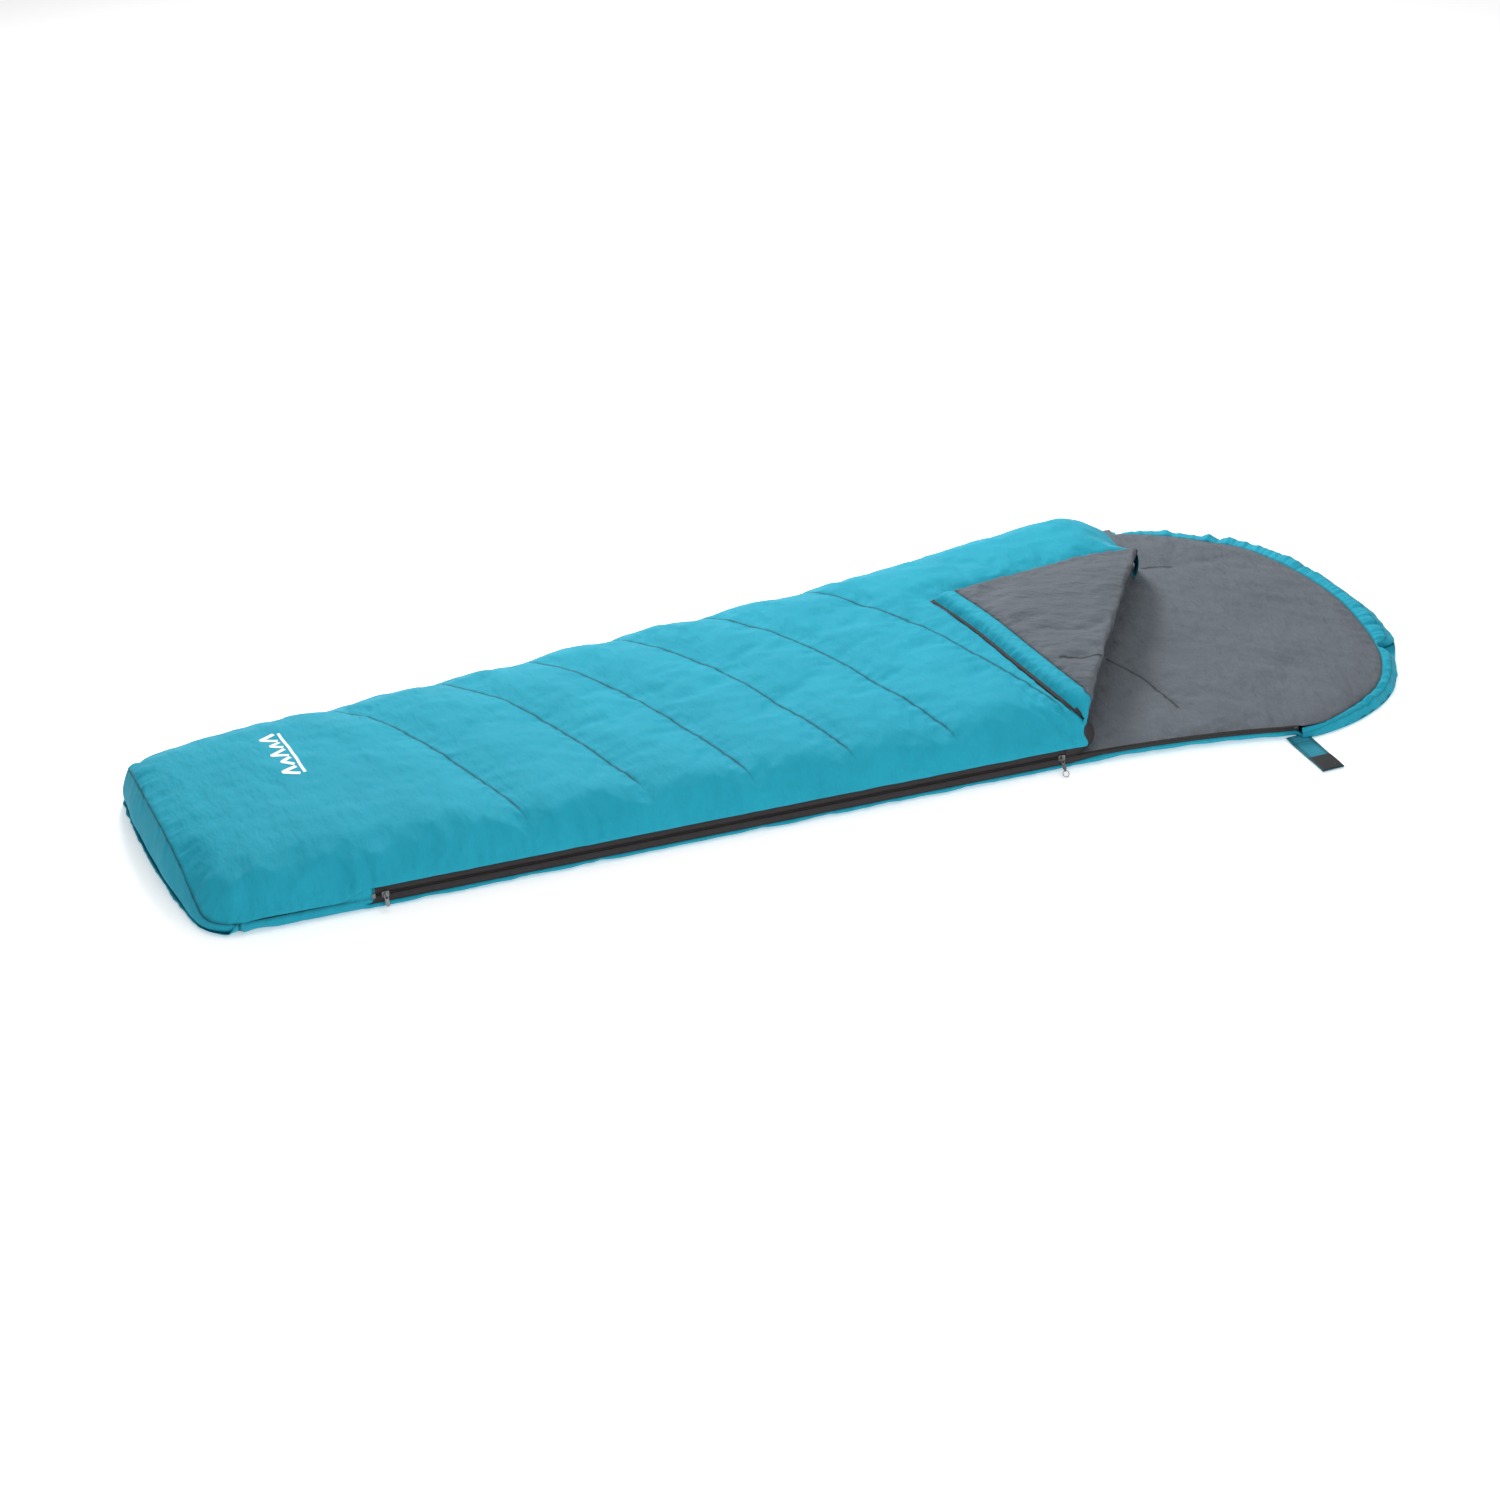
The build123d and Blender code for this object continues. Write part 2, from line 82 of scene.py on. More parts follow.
def hermite_table(points, first, last, step=2.0):
    """A smooth curve y(x) through points, with its end slopes given, as a table."""
    xs, ys = np.array(points, float).T
    slopes = np.gradient(ys, xs)
    slopes[0], slopes[-1] = first, last
    x = np.arange(xs[0], xs[-1] + step / 2, step)
    i = np.clip(np.searchsorted(xs, x, "right") - 1, 0, len(xs) - 2)
    h = xs[i + 1] - xs[i]
    t = (x - xs[i]) / h
    y = (
        ys[i] * (1 + 2 * t) * (1 - t) ** 2
        + slopes[i] * h * t * (1 - t) ** 2
        + ys[i + 1] * t * t * (3 - 2 * t)
        + slopes[i + 1] * h * t * t * (t - 1)
    )
    return x, y


SHOULDER_X, SHOULDER_Y = hermite_table(SHOULDER, SIDE_SLOPE, 0.0)
FAR_X, FAR_Y = hermite_table(FAR_SHOULDER, SIDE_SLOPE, 0.0)


def half_width(x):
    """How far the near side is from the centre line."""
    x = np.asarray(x, float)
    straight = CHEST_HALF + SIDE_SLOPE * (x - CHEST_X)
    return np.where(x <= CHEST_X, straight, np.interp(x, SHOULDER_X, SHOULDER_Y))


def far_width(x):
    """How far the far side is from the centre line."""
    x = np.asarray(x, float)
    straight = CHEST_HALF + FAR_WIDER + SIDE_SLOPE * (x - CHEST_X)
    return np.where(x <= CHEST_X, straight, np.interp(x, FAR_X, FAR_Y))


FOOT_MID = FAR_WIDER / 2
FOOT_CORNER_REACH = FOOT_CORNER_Y + FOOT_MID
FOOT_NEAR_Y, FOOT_FAR_Y = -224.9, 224.9 + FAR_WIDER


def foot_x(y):
    """Where the foot's outline is at y."""
    a = np.abs(np.asarray(y, float) - FOOT_MID)
    tip = FOOT_TIP_X + (FOOT_CORNER_X - FOOT_TIP_X) * (a / FOOT_CORNER_REACH) ** 2
    reach = np.clip(a - CORNER_CY - FOOT_MID, 0, CORNER_R)
    corner = CORNER_CX - np.sqrt(np.maximum(CORNER_R**2 - reach**2, 0.0))
    return np.where(a <= FOOT_CORNER_REACH, tip, corner)


SEAM_Y = [-226, -200, -183, -150, -100, -50, 0, 60, 120, 175, 219, 247, 262, 273]
SEAM_Z = [22, 23, 27, 41, 62, 76, 83, 85, 84, 79, 70, 54, 36, 15]


def foot_seam_z(y):
    """Height of the seam between the cover and the foot gusset."""
    return np.interp(y, SEAM_Y, SEAM_Z)


def foot_seam_x(y):
    """Where that seam is: the gusset leans in over the foot."""
    return foot_x(y) + FOOT_LEAN * foot_seam_z(y) / FOOT_SEAM_TOP


def near_rim_z(x):
    """Height of the cover's near edge: above the zip, and lower before the zip starts."""
    return BEFORE_ZIP_Z + 16.0 * smooth((np.asarray(x, float) + 893.0) / 42.0)


def tape_foot_z(x):
    """Height of the lower tape's bottom edge: narrower past the slider, where the bag is open."""
    return 9.4 + 5.6 * smooth((np.asarray(x, float) - 345.0) / 70.0)


def crown_z(x):
    return 87.0 + 10.0 * smooth((np.asarray(x, float) + 1119.0) / 260.0)


def near_roll(x):
    """How softly the cover's near side rounds over: firm along the zip, softer where it is open."""
    return 24.0 + 9.0 * smooth((np.asarray(x, float) - 150.0) / 180.0)


def plain_cover_z(x, y):
    """The cover's height before the foot's seam pulls it down."""
    near = np.maximum(y + half_width(x), -6.0)
    far = np.maximum(far_width(x) - y, -6.0)
    c = crown_z(x)
    rim = near_rim_z(x)
    return c - (c - rim) * np.exp(-near / near_roll(x)) - (c - 14.0) * np.exp(-far / FAR_ROLL)


NECK_DIRECTION = (NECK_FAR - F_POINT) / np.linalg.norm(NECK_FAR - F_POINT)
NECK_FORWARD = np.array([NECK_DIRECTION[1], -NECK_DIRECTION[0]])


def cover_z(x, y):
    """The cover's height with the foot's seam, and with its rounded end at the neck."""
    fx = foot_seam_x(y)
    at_seam = plain_cover_z(fx, y)
    pull = np.exp(-np.maximum(x - fx, 0) / 34.0)
    z = plain_cover_z(x, y) - (at_seam - foot_seam_z(y)) * pull
    dx, dy = x - F_POINT[0], y - F_POINT[1]
    along = dx * NECK_DIRECTION[0] + dy * NECK_DIRECTION[1]
    behind = -(dx * NECK_FORWARD[0] + dy * NECK_FORWARD[1])
    near_end = np.clip(1 - behind / 75.0, 0, 1)
    drop = (1 - np.sqrt(np.maximum(1 - near_end**2, 0.0))) * 34.0 + 16.0 * smooth(1 - behind / 110.0)
    sag = 11.0 * smooth(1 - behind / 130.0) * smooth((along + 170.0) / 170.0)
    return z - (drop * smooth((along - 4.0) / 75.0) + sag) * np.clip((z - 30.0) / 50.0, 0, 1)


def fold_frame(x, y):
    """Distance along the fold line and behind it, towards the foot."""
    dx, dy = np.asarray(x, float) - FOLD_N[0], np.asarray(y, float) - FOLD_N[1]
    return dx * FOLD_ALONG[0] + dy * FOLD_ALONG[1], dx * FOLD_BACK[0] + dy * FOLD_BACK[1]


def fold_point(along, back=0.0):
    p = FOLD_N + along * FOLD_ALONG + back * FOLD_BACK
    return float(p[0]), float(p[1])


def bell(d, centre, width):
    """A smooth bump that is 1 where d is at its centre."""
    return np.exp(-(((d - centre) / width) ** 2))


def rise(d, width):
    """0 at an edge, and nearly 1 a few widths away from it."""
    return 1 - np.exp(-d / width)


# ---------------------------------------------------------------- polylines and patches
def steps_of(line):
    return np.linalg.norm(np.diff(line, axis=0), axis=1)


def run_along(line):
    """How far along a line each of its points is."""
    return np.r_[0, np.cumsum(steps_of(line))]


def unit(vectors):
    return vectors / np.linalg.norm(vectors, axis=1)[:, None]


def right_of(line):
    """Unit vectors to the right of a plan line, at each of its points."""
    d = np.gradient(line, axis=0)
    return unit(np.stack([d[:, 1], -d[:, 0]], 1))


def resample(points, spacing, closed=False):
    """Points at about equal spacing along a polyline of any dimension."""
    p = np.array(points, float)
    if closed:
        p = np.vstack([p, p[:1]])
    length = run_along(p)
    n = max(2, int(round(length[-1] / spacing)) + 1)
    at = np.linspace(0, length[-1], n)
    out = np.stack([np.interp(at, length, p[:, k]) for k in range(p.shape[1])], 1)
    return out[:-1] if closed else out


def resample_to(line, count):
    return resample(line, steps_of(line).sum() / (count - 1))


def curve_through(points, spacing):
    """A smooth Catmull-Rom line through points, resampled."""
    p = np.array(points, float)
    p = np.vstack([2 * p[0] - p[1], p, 2 * p[-1] - p[-2]])
    out = []
    for i in range(1, len(p) - 2):
        for t in np.linspace(0, 1, 24, endpoint=False):
            a, b, c, d = p[i - 1 : i + 3]
            out.append(
                0.5 * (2 * b + (c - a) * t + (2 * a - 5 * b + 4 * c - d) * t * t + (3 * b - a - 3 * c + d) * t**3)
            )
    out.append(p[-2])
    return resample(out, spacing)


def inside(points, loop):
    """Which points are inside a closed loop."""
    x, y = points[:, 0], points[:, 1]
    odd = np.zeros(len(points), bool)
    a = np.array(loop, float)
    b = np.roll(a, -1, 0)
    for (x0, y0), (x1, y1) in zip(a, b):
        if y0 == y1:
            continue
        cross = (y0 > y) != (y1 > y)
        odd ^= cross & (x < (x1 - x0) * (y - y0) / (y1 - y0) + x0)
    return odd


def line_distance(points, line, closed=False):
    """Distance from points to a polyline, and how far along it the nearest place is."""
    p = np.asarray(points, float)
    line = np.array(line, float)
    if closed:
        line = np.vstack([line, line[:1]])
    best = np.full(len(p), 1e9)
    along = np.zeros(len(p))
    run = 0.0
    for a, b in zip(line, line[1:]):
        d = b - a
        length = np.linalg.norm(d)
        if length < 1e-9:
            continue
        t = np.clip(((p - a) @ d) / length**2, 0, 1)
        gap = np.linalg.norm(p - (a + t[:, None] * d), axis=1)
        closer = gap < best
        best[closer] = gap[closer]
        along[closer] = run + t[closer] * length
        run += length
    return best, along


def take_nearer(seam, along, d, a):
    """Uses another seam's distance and run wherever that seam is nearer."""
    closer = d < seam
    seam[closer], along[closer] = d[closer], a[closer]


def patch(loop, lines, spacing, sparse=None):
    """A flat triangulated patch. Returns points, faces, and masks of the edge and line points."""
    ring = resample(loop, spacing, closed=True)
    fixed = [ring]
    edges = [(i, (i + 1) % len(ring)) for i in range(len(ring))]
    count = len(ring)
    for line in lines:
        pts = resample(line, spacing)
        edges += [(count + i, count + i + 1) for i in range(len(pts) - 1)]
        fixed.append(pts)
        count += len(pts)
    fixed = np.vstack(fixed)
    low, high = ring.min(0), ring.max(0)
    rows = np.arange(low[1], high[1], spacing * 0.866)
    grid = []
    for k, y in enumerate(rows):
        xs = np.arange(low[0] + (k % 2) * spacing / 2, high[0], spacing)
        grid.append(np.stack([xs, np.full(len(xs), y)], 1))
    grid = np.vstack(grid)
    if sparse is not None:
        grid = grid[sparse(grid)]
    grid = grid[inside(grid, ring)]
    tree = kdtree.KDTree(len(fixed))
    for i, p in enumerate(fixed):
        tree.insert((p[0], p[1], 0), i)
    tree.balance()
    keep = [tree.find((p[0], p[1], 0))[2] > 0.62 * spacing for p in grid]
    pts = np.vstack([fixed, grid[np.array(keep)]])
    out = delaunay_2d_cdt([Vector(p) for p in pts], edges, [], 1, 1e-4)
    verts = np.array([tuple(v) for v in out[0]], float)
    faces = [tuple(f) for f in out[2]]
    sources = out[3]
    edge_mask = np.array([any(s < len(ring) for s in src) for src in sources])
    line_mask = np.array([any(len(ring) <= s < len(fixed) for s in src) for src in sources])
    return verts, faces, edge_mask, line_mask


# ---------------------------------------------------------------- meshes
def make_mesh(name, points, faces, flat=None):
    """A mesh object from millimetre points, with its flat cloth coordinates kept as an attribute."""
    mesh = bpy.data.meshes.new(name)
    mesh.from_pydata((np.asarray(points, float) * MM).tolist(), [], [list(map(int, f)) for f in faces])
    mesh.polygons.foreach_set("use_smooth", [True] * len(mesh.polygons))
    obj = bpy.data.objects.new(name, mesh)
    bpy.context.scene.collection.objects.link(obj)
    set_flat(obj, flat if flat is not None else np.asarray(points, float)[:, :2])
    mesh.update()
    return obj


def set_flat(obj, flat):
    flat = np.asarray(flat, float)
    if flat.shape[1] == 2:
        flat = np.c_[flat, np.zeros(len(flat))]
    a = obj.data.attributes.get("flat") or obj.data.attributes.new("flat", "FLOAT_VECTOR", "POINT")
    a.data.foreach_set("vector", (flat * MM).ravel())


def set_value(obj, name, values):
    a = obj.data.attributes.get(name) or obj.data.attributes.new(name, "FLOAT", "POINT")
    a.data.foreach_set("value", np.asarray(values, np.float32))


def read_vectors(data, key):
    values = np.zeros(len(data) * 3)
    data.foreach_get(key, values)
    return values.reshape(-1, 3)


def points_of(obj):
    return read_vectors(obj.data.vertices, "co") / MM


def flat_of(obj):
    return read_vectors(obj.data.attributes["flat"].data, "vector")[:, :2] / MM


def normals_of(obj):
    return read_vectors(obj.data.vertex_normals, "vector")


def move_points(obj, points):
    obj.data.vertices.foreach_set("co", (np.asarray(points, float) * MM).ravel())
    obj.data.update()


def flip(obj):
    """Turns every face over."""
    obj.data.flip_normals()
    obj.data.update()


def face_up(obj):
    if normals_of(obj)[:, 2].mean() < 0:
        flip(obj)


def by_station(rows):
    """Lines that run along a piece, as a grid whose first index is the place along it."""
    return np.array(rows).transpose(1, 0, 2)


def spread(run, across):
    """Flat cloth coordinates of a grid: how far along, and how far across."""
    across = np.asarray(across, float)
    along = np.repeat(run[:, None], len(across), 1)
    return np.stack([along, np.repeat(across[None], len(run), 0)], 2)


def grid_mesh(name, rows, closed_u=False, closed_v=False, flat=None):
    """A quad grid from an array of shape (u, v, 3)."""
    rows = np.asarray(rows, float)
    nu, nv = rows.shape[:2]
    faces = []
    for i in range(nu if closed_u else nu - 1):
        for j in range(nv if closed_v else nv - 1):
            a, b = i * nv + j, i * nv + (j + 1) % nv
            c, d = ((i + 1) % nu) * nv + (j + 1) % nv, ((i + 1) % nu) * nv + j
            faces.append((a, d, c, b))
    if flat is not None:
        flat = np.asarray(flat, float).reshape(nu * nv, -1)
    return make_mesh(name, rows.reshape(-1, 3), faces, flat)


def refine(obj, levels=1):
    """Subdivides for good, and keeps the flat coordinates."""
    mod = obj.modifiers.new("Subdivide", "SUBSURF")
    mod.levels = mod.render_levels = levels
    dg = bpy.context.evaluated_depsgraph_get()
    new = bpy.data.meshes.new_from_object(obj.evaluated_get(dg), depsgraph=dg)
    obj.modifiers.clear()
    obj.data = new
    new.name = obj.name
    new.polygons.foreach_set("use_smooth", [True] * len(new.polygons))
    return obj


def inflate(obj, pinned, pressure, excess, cap, bending=0.6, frames=18):
    """Runs the cloth with its fixed points, and keeps the result within cap of the start."""
    start = points_of(obj)
    group = obj.vertex_groups.new(name="pin")
    group.add([int(i) for i in np.nonzero(pinned)[0]], 1.0, "REPLACE")
    mod = obj.modifiers.new("Cloth", "CLOTH")
    s = mod.settings
    s.quality = 5
    s.mass = 0.2
    s.air_damping = 2.0
    s.tension_stiffness = s.compression_stiffness = 12.0
    s.shear_stiffness = 6.0
    s.bending_stiffness = bending
    s.vertex_group_mass = "pin"
    s.use_pressure = True
    s.uniform_pressure_force = pressure
    s.shrink_min = -excess
    s.effector_weights.gravity = 0.0
    mod.collision_settings.use_collision = False
    mod.collision_settings.use_self_collision = False
    scene = bpy.context.scene
    for f in range(1, frames + 1):
        scene.frame_set(f)
    dg = bpy.context.evaluated_depsgraph_get()
    end = points_of(obj.evaluated_get(dg))
    obj.modifiers.remove(mod)
    obj.vertex_groups.remove(group)
    scene.frame_set(1)
    step = end - start
    size = np.linalg.norm(step, axis=1)
    print("cloth", obj.name, len(start), "points, moved", round(float(size.mean()), 2), round(float(size.max()), 2))
    limit = np.broadcast_to(cap, size.shape)
    step *= (limit * np.tanh(size / limit) / np.maximum(size, 1e-9))[:, None]
    move_points(obj, start + step)


def ripple(x, y, seed=0.0):
    """Smooth noise between about -1 and 1 at each place."""
    return np.array([noise.noise(Vector((float(a), float(b), seed))) for a, b in zip(x, y)]) * 1.6


# ---------------------------------------------------------------- materials
def linear(r, g, b):
    def one(c):
        c /= 255.0
        return c / 12.92 if c <= 0.04045 else ((c + 0.055) / 1.055) ** 2.4

    return (one(r), one(g), one(b), 1.0)


class Nodes:
    """A short way to write a material's nodes."""

    def __init__(self, name):
        self.material = bpy.data.materials.new(name)
        self.material.use_nodes = True
        self.tree = self.material.node_tree
        self.shader = self.tree.nodes["Principled BSDF"]

    def add(self, kind, **values):
        node = self.tree.nodes.new("ShaderNode" + kind)
        for key, value in values.items():
            if key in node.inputs:
                self.put(node.inputs[key], value)
            elif key.startswith("in") and key[2:].isdigit():
                self.put(node.inputs[int(key[2:])], value)
            else:
                setattr(node, key, value)
        return node

    def put(self, socket, value):
        if isinstance(value, bpy.types.NodeSocket):
            self.tree.links.new(value, socket)
        elif isinstance(value, bpy.types.Node):
            self.tree.links.new(value.outputs[0], socket)
        else:
            socket.default_value = value

    def math(self, operation, a, b=0.0, c=None):
        node = self.add("Math", operation=operation, in0=a, in1=b)
        if c is not None:
            self.put(node.inputs[2], c)
        return node.outputs[0]

    def mix(self, factor, a, b):
        node = self.add("Mix", data_type="RGBA")
        self.put(node.inputs[0], factor)
        self.put(node.inputs[6], a)
        self.put(node.inputs[7], b)
        return node.outputs[2]

    def flat(self):
        return self.add("Attribute", attribute_name="flat").outputs["Vector"]

    def value(self, name):
        return self.add("Attribute", attribute_name=name).outputs["Fac"]

    def noise(self, vector, scale, detail=3.0, rough=0.5):
        node = self.add("TexNoise", Scale=scale, Detail=detail, Roughness=rough)
        self.put(node.inputs["Vector"], vector)
        return node.outputs["Fac"]

    def weave(self, vector, per_metre):
        """Plain weave: two crossed sets of threads."""
        split = self.add("SeparateXYZ", in0=vector)
        turns = per_metre * math.tau
        a = self.math("SINE", self.math("MULTIPLY", split.outputs[0], turns))
        b = self.math("SINE", self.math("MULTIPLY", split.outputs[1], turns))
        return self.math("MULTIPLY", a, b)

    def bump(self, height, distance, strength=1.0, normal=None):
        node = self.add("Bump", Strength=strength, Distance=distance)
        self.put(node.inputs["Height"], height)
        if normal is not None:
            self.put(node.inputs["Normal"], normal)
        return node.outputs[0]


def surface(n, base, normal, rough, **constants):
    """Sets the shader: constant values go on its own sockets."""
    n.put(n.shader.inputs["Base Color"], base)
    n.put(n.shader.inputs["Normal"], normal)
    n.put(n.shader.inputs["Roughness"], rough)
    for name, value in constants.items():
        n.shader.inputs[name.replace("_", " ")].default_value = value
    return n.material


def cloth_material(name, colour, shade, weave, rough, sheen, crease, stitch=True):
    """Woven cloth: colour that varies a little, creases, a weave, stitches where a seam is near, and painted shade that
    darkens the cloth within 7 mm of a seam.
    """
    n = Nodes(name)
    flat = n.flat()
    broad = n.noise(flat, 7.0, 2.0)
    fine = n.noise(flat, 60.0, 4.0, 0.6)
    tone = n.math("ADD", n.math("MULTIPLY", broad, 0.75), n.math("MULTIPLY", fine, 0.35))
    base = n.mix(tone, linear(*shade), linear(*colour))
    stretch = n.add("Mapping", vector_type="POINT")
    n.put(stretch.inputs["Vector"], flat)
    stretch.inputs["Scale"].default_value = (1.0, 0.45, 1.0)
    stretch.inputs["Rotation"].default_value = (0.0, 0.0, 0.45)
    folds = n.noise(stretch.outputs[0], 34.0, 4.0, 0.55)
    normal = n.bump(folds, crease)
    weft = n.weave(flat, weave)
    normal = n.bump(weft, 0.00012, 0.7, normal)
    if stitch:
        seam = n.value("seam")
        along = n.value("along")
        # Painted shade: near is how strongly the cloth is darkened within 7 mm of a seam, towards a deep copy of the
        # shade colour. It stands in for the shadow in the seam's groove.
        near = n.math("SUBTRACT", 1.0, n.math("DIVIDE", seam, 0.007))
        near = n.math("MAXIMUM", near, 0.0)
        near = n.math("POWER", near, 2.2)
        base = n.mix(n.math("MULTIPLY", near, 0.8), base, linear(*[c * 0.45 for c in shade]))
        dash = n.math("GREATER_THAN", n.math("FRACT", n.math("DIVIDE", along, 0.0042)), 0.3)
        thread = n.math("MULTIPLY", n.math("LESS_THAN", seam, 0.0008), dash)
        base = n.mix(n.math("MULTIPLY", thread, 0.85), base, linear(*[c * 0.35 for c in colour]))
        pull = n.noise(stretch.outputs[0], 120.0, 2.0)
        tug = n.math("MULTIPLY", n.math("MAXIMUM", n.math("SUBTRACT", 1.0, n.math("DIVIDE", seam, 0.016)), 0.0), pull)
        normal = n.bump(tug, 0.003, 0.8, normal)
    rough = n.math("ADD", n.math("MULTIPLY", fine, 0.14), rough - 0.07)
    return surface(n, base, normal, rough, Sheen_Weight=sheen, Sheen_Roughness=0.45, Specular_IOR_Level=0.14)


def tape_material(name, colour, light):
    """Zip tape: a dense dark weave."""
    n = Nodes(name)
    flat = n.flat()
    weft = n.weave(flat, 900.0)
    fine = n.noise(flat, 400.0, 3.0)
    base = n.mix(fine, linear(*colour), linear(*light))
    rough = n.math("ADD", n.math("MULTIPLY", fine, 0.2), 0.6)
    return surface(n, base, n.bump(weft, 0.0002), rough, Sheen_Weight=0.05)


def plain_material(name, colour, light, scale, rough, bump, metallic=0.0):
    """Moulded or metal parts: two close tones, worn by noise."""
    n = Nodes(name)
    place = n.add("TexCoord").outputs["Object"]
    fine = n.noise(place, scale, 4.0)
    base = n.mix(fine, linear(*colour), linear(*light))
    rough = n.math("ADD", n.math("MULTIPLY", fine, 0.25), rough - 0.12)
    return surface(n, base, n.bump(fine, bump), rough, Metallic=metallic)


def hook_material():
    """Rows of small hooks on a black base."""
    n = Nodes("hook_tape")
    flat = n.flat()
    cells = n.add("TexVoronoi", Scale=900.0)
    n.put(cells.inputs["Vector"], flat)
    dots = n.math("LESS_THAN", cells.outputs["Distance"], 0.42)
    return surface(n, n.mix(dots, linear(20, 22, 25), linear(52, 55, 60)), n.bump(dots, 0.0006), 0.7)


SHELL = cloth_material("shell_taffeta", (40, 173, 198), (24, 150, 176), 1500.0, 0.66, 0.02, 0.0055)
LINING = cloth_material("lining_cloth", (108, 115, 122), (86, 92, 99), 1300.0, 0.75, 0.04, 0.012)
STRAP = cloth_material("strap_webbing", (48, 144, 164), (36, 122, 142), 700.0, 0.6, 0.05, 0.0003)
TAPE = tape_material("zip_tape_weave", (28, 23, 25), (50, 42, 44))
COIL = plain_material("zip_coil_nylon", (18, 17, 18), (40, 37, 38), 900.0, 0.42, 0.0001)
METAL = plain_material("slider_metal", (96, 97, 99), (140, 141, 143), 500.0, 0.34, 0.00006, 1.0)
THREAD = plain_material("dark_thread", (30, 34, 38), (58, 64, 70), 1500.0, 0.7, 0.0003)
PRINT = plain_material("print_ink", (232, 240, 242), (250, 252, 252), 700.0, 0.55, 0.00004)
HOOK = hook_material()


def dress(obj, material, body=None, seam=None, along=None):
    """Gives a piece its material, seam distances and body."""
    obj.data.materials.clear()
    obj.data.materials.append(material)
    count = len(obj.data.vertices)
    set_value(obj, "seam", np.full(count, 1.0) if seam is None else np.asarray(seam) * MM)
    set_value(obj, "along", np.zeros(count) if along is None else np.asarray(along) * MM)
    if body:
        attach(obj, body)
    return obj


# ---------------------------------------------------------------- cover
ROW_STEP = 5.0
ROW_X = np.arange(-1125.0, 830.0, ROW_STEP)
SHARE = np.linspace(-1, 1, 241)


def cover_rows():
    """For each station along the bag, the arc length across the cover at each share of its width."""
    table = []
    for x in ROW_X:
        y = np.where(SHARE < 0, SHARE * float(half_width(x)), SHARE * float(far_width(x)))
        z = plain_cover_z(np.full(len(y), x), y)
        s = np.r_[0, np.cumsum(np.hypot(np.diff(y), np.diff(z)))]
        table.append(s - np.interp(0.0, SHARE, s))
    return np.array(table)


ROWS = cover_rows()


def to_arc(x, y):
    """Plan position to arc length across the cover."""
    x, y = np.broadcast_arrays(np.asarray(x, float), np.asarray(y, float))
    f = np.clip((x - ROW_X[0]) / ROW_STEP, 0, len(ROW_X) - 1.001)
    i = f.astype(int)
    side = np.where(y < 0, half_width(x), far_width(x))
    g = np.clip((y / side + 1) / 2 * (len(SHARE) - 1), 0, len(SHARE) - 1.001)
    j = g.astype(int)
    f, g = f - i, g - j
    low = ROWS[i, j] * (1 - g) + ROWS[i, j + 1] * g
    high = ROWS[i + 1, j] * (1 - g) + ROWS[i + 1, j + 1] * g
    return low * (1 - f) + high * f


def from_arc(x, p):
    """Arc length across the cover back to plan y."""
    out = np.zeros(len(x))
    for k, (a, b) in enumerate(zip(x, p)):
        f = min(max((a - ROW_X[0]) / ROW_STEP, 0), len(ROW_X) - 1.001)
        i = int(f)
        f -= i
        row = ROWS[i] * (1 - f) + ROWS[i + 1] * f
        out[k] = np.interp(b, row, SHARE)
    return out * np.where(out < 0, half_width(x), far_width(x))


QUILT_X = [-631.0, -430.0, -263.0, -87.0, 89.0, 291.0]
QUILT_FROM = [-214.0, -214.0, -246.0, -254.0, -266.0, -262.0]


def quilt_line(x0, y_from, y_to=300.0):
    """One diagonal quilting seam, from the near end to the far side."""
    y = np.linspace(y_from, y_to, 44)
    x = x0 - 0.27 * y - np.where(y > 0, 0.0009, 0.0) * y * y
    keep = (fold_frame(x, y)[1] > 14.0) & (y < far_width(x) - 14.0)
    return np.stack([x[keep], y[keep]], 1)


QUILTS = [quilt_line(x, y) for x, y in zip(QUILT_X, QUILT_FROM)]


def cover_outline():
    """The cover's plan outline: near edge, fold, neck, far edge, foot."""
    start = fold_point(0.0, FOLD_GAP)
    x_end = start[0] - 1.0
    near_x = np.linspace(FOOT_BLEND_X, x_end, 200)
    near = np.stack([near_x, -half_width(near_x) + 0.4], 1)
    fold = np.array([fold_point(s, FOLD_GAP) for s in np.linspace(-12.0, FOLD_LENGTH, 60)])
    fold = fold[fold[:, 1] > -half_width(fold[:, 0]) + 1.0]
    neck = np.linspace(fold[-1], NECK_FAR, 20)[1:]
    far_x = np.linspace(NECK_FAR[0], FOOT_BLEND_X, 240)
    far = np.stack([far_x, far_width(far_x) - 0.2], 1)
    foot_y = np.linspace(FOOT_FAR_Y, FOOT_NEAR_Y, 100)
    foot = np.stack([foot_seam_x(foot_y), foot_y], 1)
    return near, fold, neck, far, foot


NEAR_EDGE, FOLD_EDGE, NECK_EDGE, FAR_EDGE, FOOT_EDGE = cover_outline()


def arc_line(line):
    line = np.asarray(line, float)
    return np.stack([line[:, 0], to_arc(line[:, 0], line[:, 1])], 1)


def flap_outline():
    """The folded corner's zip edge, from the near end to its corner."""
    start = fold_point(2.0, FOLD_GAP)
    return curve_through([start, *ZIP_EDGE], 8.0)


FLAP_ZIP = flap_outline()
FLAP_LOOP = np.vstack([FLAP_ZIP, [fold_point(FOLD_LENGTH, FOLD_GAP)]])


def under_flap(x, y, margin=22.0):
    """1 where the folded corner lies on the cover, falling to 0 outside it."""
    p = np.stack([x, y], 1)
    gap, _ = line_distance(p, FLAP_LOOP, closed=True)
    gap = np.where(inside(p, FLAP_LOOP), 0.0, gap)
    return 1 - smooth(gap / margin)


NEAR_CREASES = [
    curve_through([(372.0, -292.0), (338.0, -232.0), (316.0, -160.0), (300.0, -90.0)], 10.0),
    curve_through([(366.0, -300.0), (318.0, -258.0), (282.0, -214.0)], 10.0),
]


